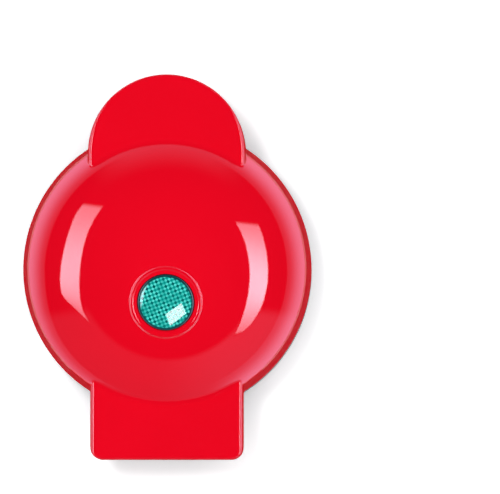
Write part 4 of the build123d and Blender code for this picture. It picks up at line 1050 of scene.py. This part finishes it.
@dataclass(frozen=True)
class Studio:
    """White table, hidden soft lamps, and a sky that gloss alone mirrors as dark with pale bands."""

    view: View = View()
    key_place: tuple[float, float, float] = (-0.42, 0.30, 2.2)
    key_width: float = 0.5
    key_energy: float = 15.0
    fill_place: tuple[float, float, float] = (0.3, -0.2, 2.4)
    fill_width: float = 2.6
    fill_energy: float = 42.0
    table_half: float = 4.0
    table_tone: tuple[float, float, float] = (0.80, 0.80, 0.80)
    seen_table: tuple[float, float, float] = (1.55, 1.54, 1.55)
    table_grain: tuple[float, float, float] = (0.9, 0.9, 0.9)
    soft_sky: float = 0.22
    sky_floor: float = 0.01
    sky_tint: tuple[float, float, float] = (1.0, 0.995, 1.0)
    band_tint: tuple[float, float, float] = (1.0, 0.95, 1.42)

    def make_table(self) -> bpy.types.Object:
        """White table that keeps the object's shadow."""
        mesh = bmesh.new()
        bmesh.ops.create_grid(mesh, x_segments=8, y_segments=8, size=self.table_half)
        made = piece_of("table", mesh, smooth=False)
        bench = Bench.named("table_top")
        grain = bench.noise(0.05, 2.0).ramp(0.3, 0.7, 0.0, 0.004)
        tone = bench.mix(bench.ray("Camera", "Glossy", "Transmission"), self.table_tone, self.seen_table)
        tone = bench.mix(grain, tone, self.table_grain)
        dress(made, bench.end(bench.node("ShaderNodeBsdfDiffuse", {}, {"Color": tone})))
        return made

    @staticmethod
    def make_lamp(name: str, place: tuple, width: float, energy: float) -> None:
        """Adds a soft round lamp that no gloss mirrors, aimed at the object.

        Args:
            name: its name.
            place: where it stands, in metres.
            width: its width, in metres.
            energy: its power in watts.
        """
        data = bpy.data.lights.new(name, "AREA")
        data.shape = "DISK"
        data.size = width
        data.energy = energy
        lamp = bpy.data.objects.new(name, data)
        away = Vector(place)
        lamp.matrix_world = Matrix.Translation(away) @ away.to_track_quat("Z", "Y").to_matrix().to_4x4()
        lamp.visible_glossy = False
        lamp.visible_camera = False
        bpy.context.scene.collection.objects.link(lamp)

    def bands(self, bench: Bench) -> Field:
        """What gloss mirrors: bright low bands at both sides, paler ones behind and in front, else dark."""
        x, y, z = bench.axes(bench.node("ShaderNodeTexCoord", {}, {}, "Generated"))
        low = z - x * 0.03 + 0.03 + (x * -0.5 + y * -0.87).ramp(0.5, 1.0) * 0.06
        aside = abs(x).ramp(0.25, 0.62)
        sides = low.ramp(0.194, 0.39, 3.8, 0.45) * low.ramp(0.385, 0.40, 1.0, 0.0) * aside
        behind = y.ramp(0.2, 0.6) * z.ramp(0.25, 0.58, 0.75, 0.0) * z.ramp(0.05, 0.2, 0.3, 1.0)
        ahead = (y * -1.0).ramp(0.28, 0.38) * z.ramp(0.63, 0.68, 1.0, 0.0) * x.ramp(-0.2, 0.5, 0.24, 0.52)
        return sides + behind * (1.0 - aside) + ahead + self.sky_floor

    def make_world(self) -> None:
        """White to the camera and through glass, banded to gloss, and a dim even sky to all else."""
        world = bpy.data.worlds.new("studio_air")
        bpy.context.scene.world = world
        bench = Bench(world)
        eye, gloss = bench.ray("Camera", "Transmission"), bench.ray("Glossy")
        power = eye + (1.0 - eye) * (gloss * self.bands(bench) + (1.0 - gloss) * self.soft_sky)
        tint = bench.mix(gloss * (1.0 - eye), self.sky_tint, self.band_tint)
        sky = bench.node("ShaderNodeBackground", {}, {"Color": tint, "Strength": power})
        bench.end(sky, "ShaderNodeOutputWorld")

    def make(self) -> None:
        """Builds the whole stage."""
        self.make_table()
        self.make_lamp("key_lamp", self.key_place, self.key_width, self.key_energy)
        self.make_lamp("fill_lamp", self.fill_place, self.fill_width, self.fill_energy)
        self.make_world()
        for card in side_cards():
            card.make(self.view, Vector((0.0, 0.0, DOME_CENTRE)), DOME)
        lens_only = bpy.data.collections.new("lens_only")
        lens_only.objects.link(bpy.data.objects["indicator_lens_cap"])
        for card in lens_cards():
            made = card.make(self.view, *LensCap().ball())
            made.light_linking.receiver_collection = lens_only
        self.view.place_camera()
        bpy.context.scene.view_settings.view_transform = "Standard"
        log.info("stage and camera")


def side_cards() -> list[Card]:
    """The two tall strip lamps mirrored at the dome's sides, top row first."""
    left = ((82.5, 202.0, 104.0, 204.5), (73.7, 214.0, 94.5, 218.0), (67.0, 231.5, 87.2, 233.0),
            (62.2, 249.0, 82.5, 249.0), (59.0, 266.0, 79.9, 266.0), (58.1, 282.5, 78.8, 283.5),
            (59.5, 293.0, 79.9, 301.0), (64.3, 300.0, 83.0, 313.0), (77.0, 312.0, 90.0, 325.0))
    right = ((233.6, 220.0, 258.5, 222.5), (240.0, 231.5, 264.0, 237.0), (245.2, 245.0, 267.5, 253.0),
             (248.4, 261.0, 268.8, 269.0), (249.2, 277.0, 268.0, 285.0), (247.8, 293.0, 265.2, 298.5),
             (244.4, 309.0, 261.2, 309.2), (239.3, 325.0, 252.0, 324.0), (233.6, 337.0, 241.0, 334.0))
    return [Card("left_strip", left, 10.8, (0.45, 0.35), 0.08),
            Card("right_strip", right, 14.8, (0.35, 0.3), 0.08)]


def lens_cards() -> list[Card]:
    """The small square lamp and the narrow arc that the lens mirrors."""
    square = ((164.8, 314.6, 181.3, 303.1), (167.0, 320.6, 183.8, 308.3), (169.3, 326.6, 186.3, 313.6))
    arc = ((147.4, 282.4, 148.6, 283.3), (144.0, 286.0, 146.3, 287.2), (141.5, 290.0, 144.2, 291.2),
           (139.8, 295.0, 143.2, 295.5), (139.2, 300.0, 142.6, 300.2), (139.2, 305.0, 141.9, 305.0),
           (139.8, 310.0, 141.0, 310.0))
    return [Card("lens_square", square, 17.0, (1.0, 1.0), 0.05, tint=(0.92, 1.0, 0.98)),
            Card("lens_arc", arc, 13.0, (0.3, 0.2), 0.16, tint=(0.9, 0.97, 1.1))]


def dress_frame(materials: dict[str, bpy.types.Material]) -> None:
    """Gives every CAD node the finish of its slot.

    Args:
        materials: the materials by slot.
    """
    for row in frame["record"]["materials"]:
        for node in row.get("nodes", []):
            dress(frame["nodes"][node], materials[row["slot"]])
    for name, node in frame["nodes"].items():
        slot = node.data.materials[0].name.split(".")[0] if node.data.materials else ""
        if slot in materials:
            dress(node, materials[slot])
        log.info("dressed %s as %s", name, slot)


def main() -> None:
    """Builds the scene in order."""
    materials = {finish.value.name: finish.value.make() for finish in Finish}
    dress_frame(materials)
    case = LidCase().make(materials["red_case"])
    log.info("%s: %d faces", case.name, len(case.data.polygons))
    lens = LensCap().make(materials["lens_teal"])
    log.info("%s: %d faces", lens.name, len(lens.data.polygons))
    Studio().make()


if __name__ == "__main__":
    main()
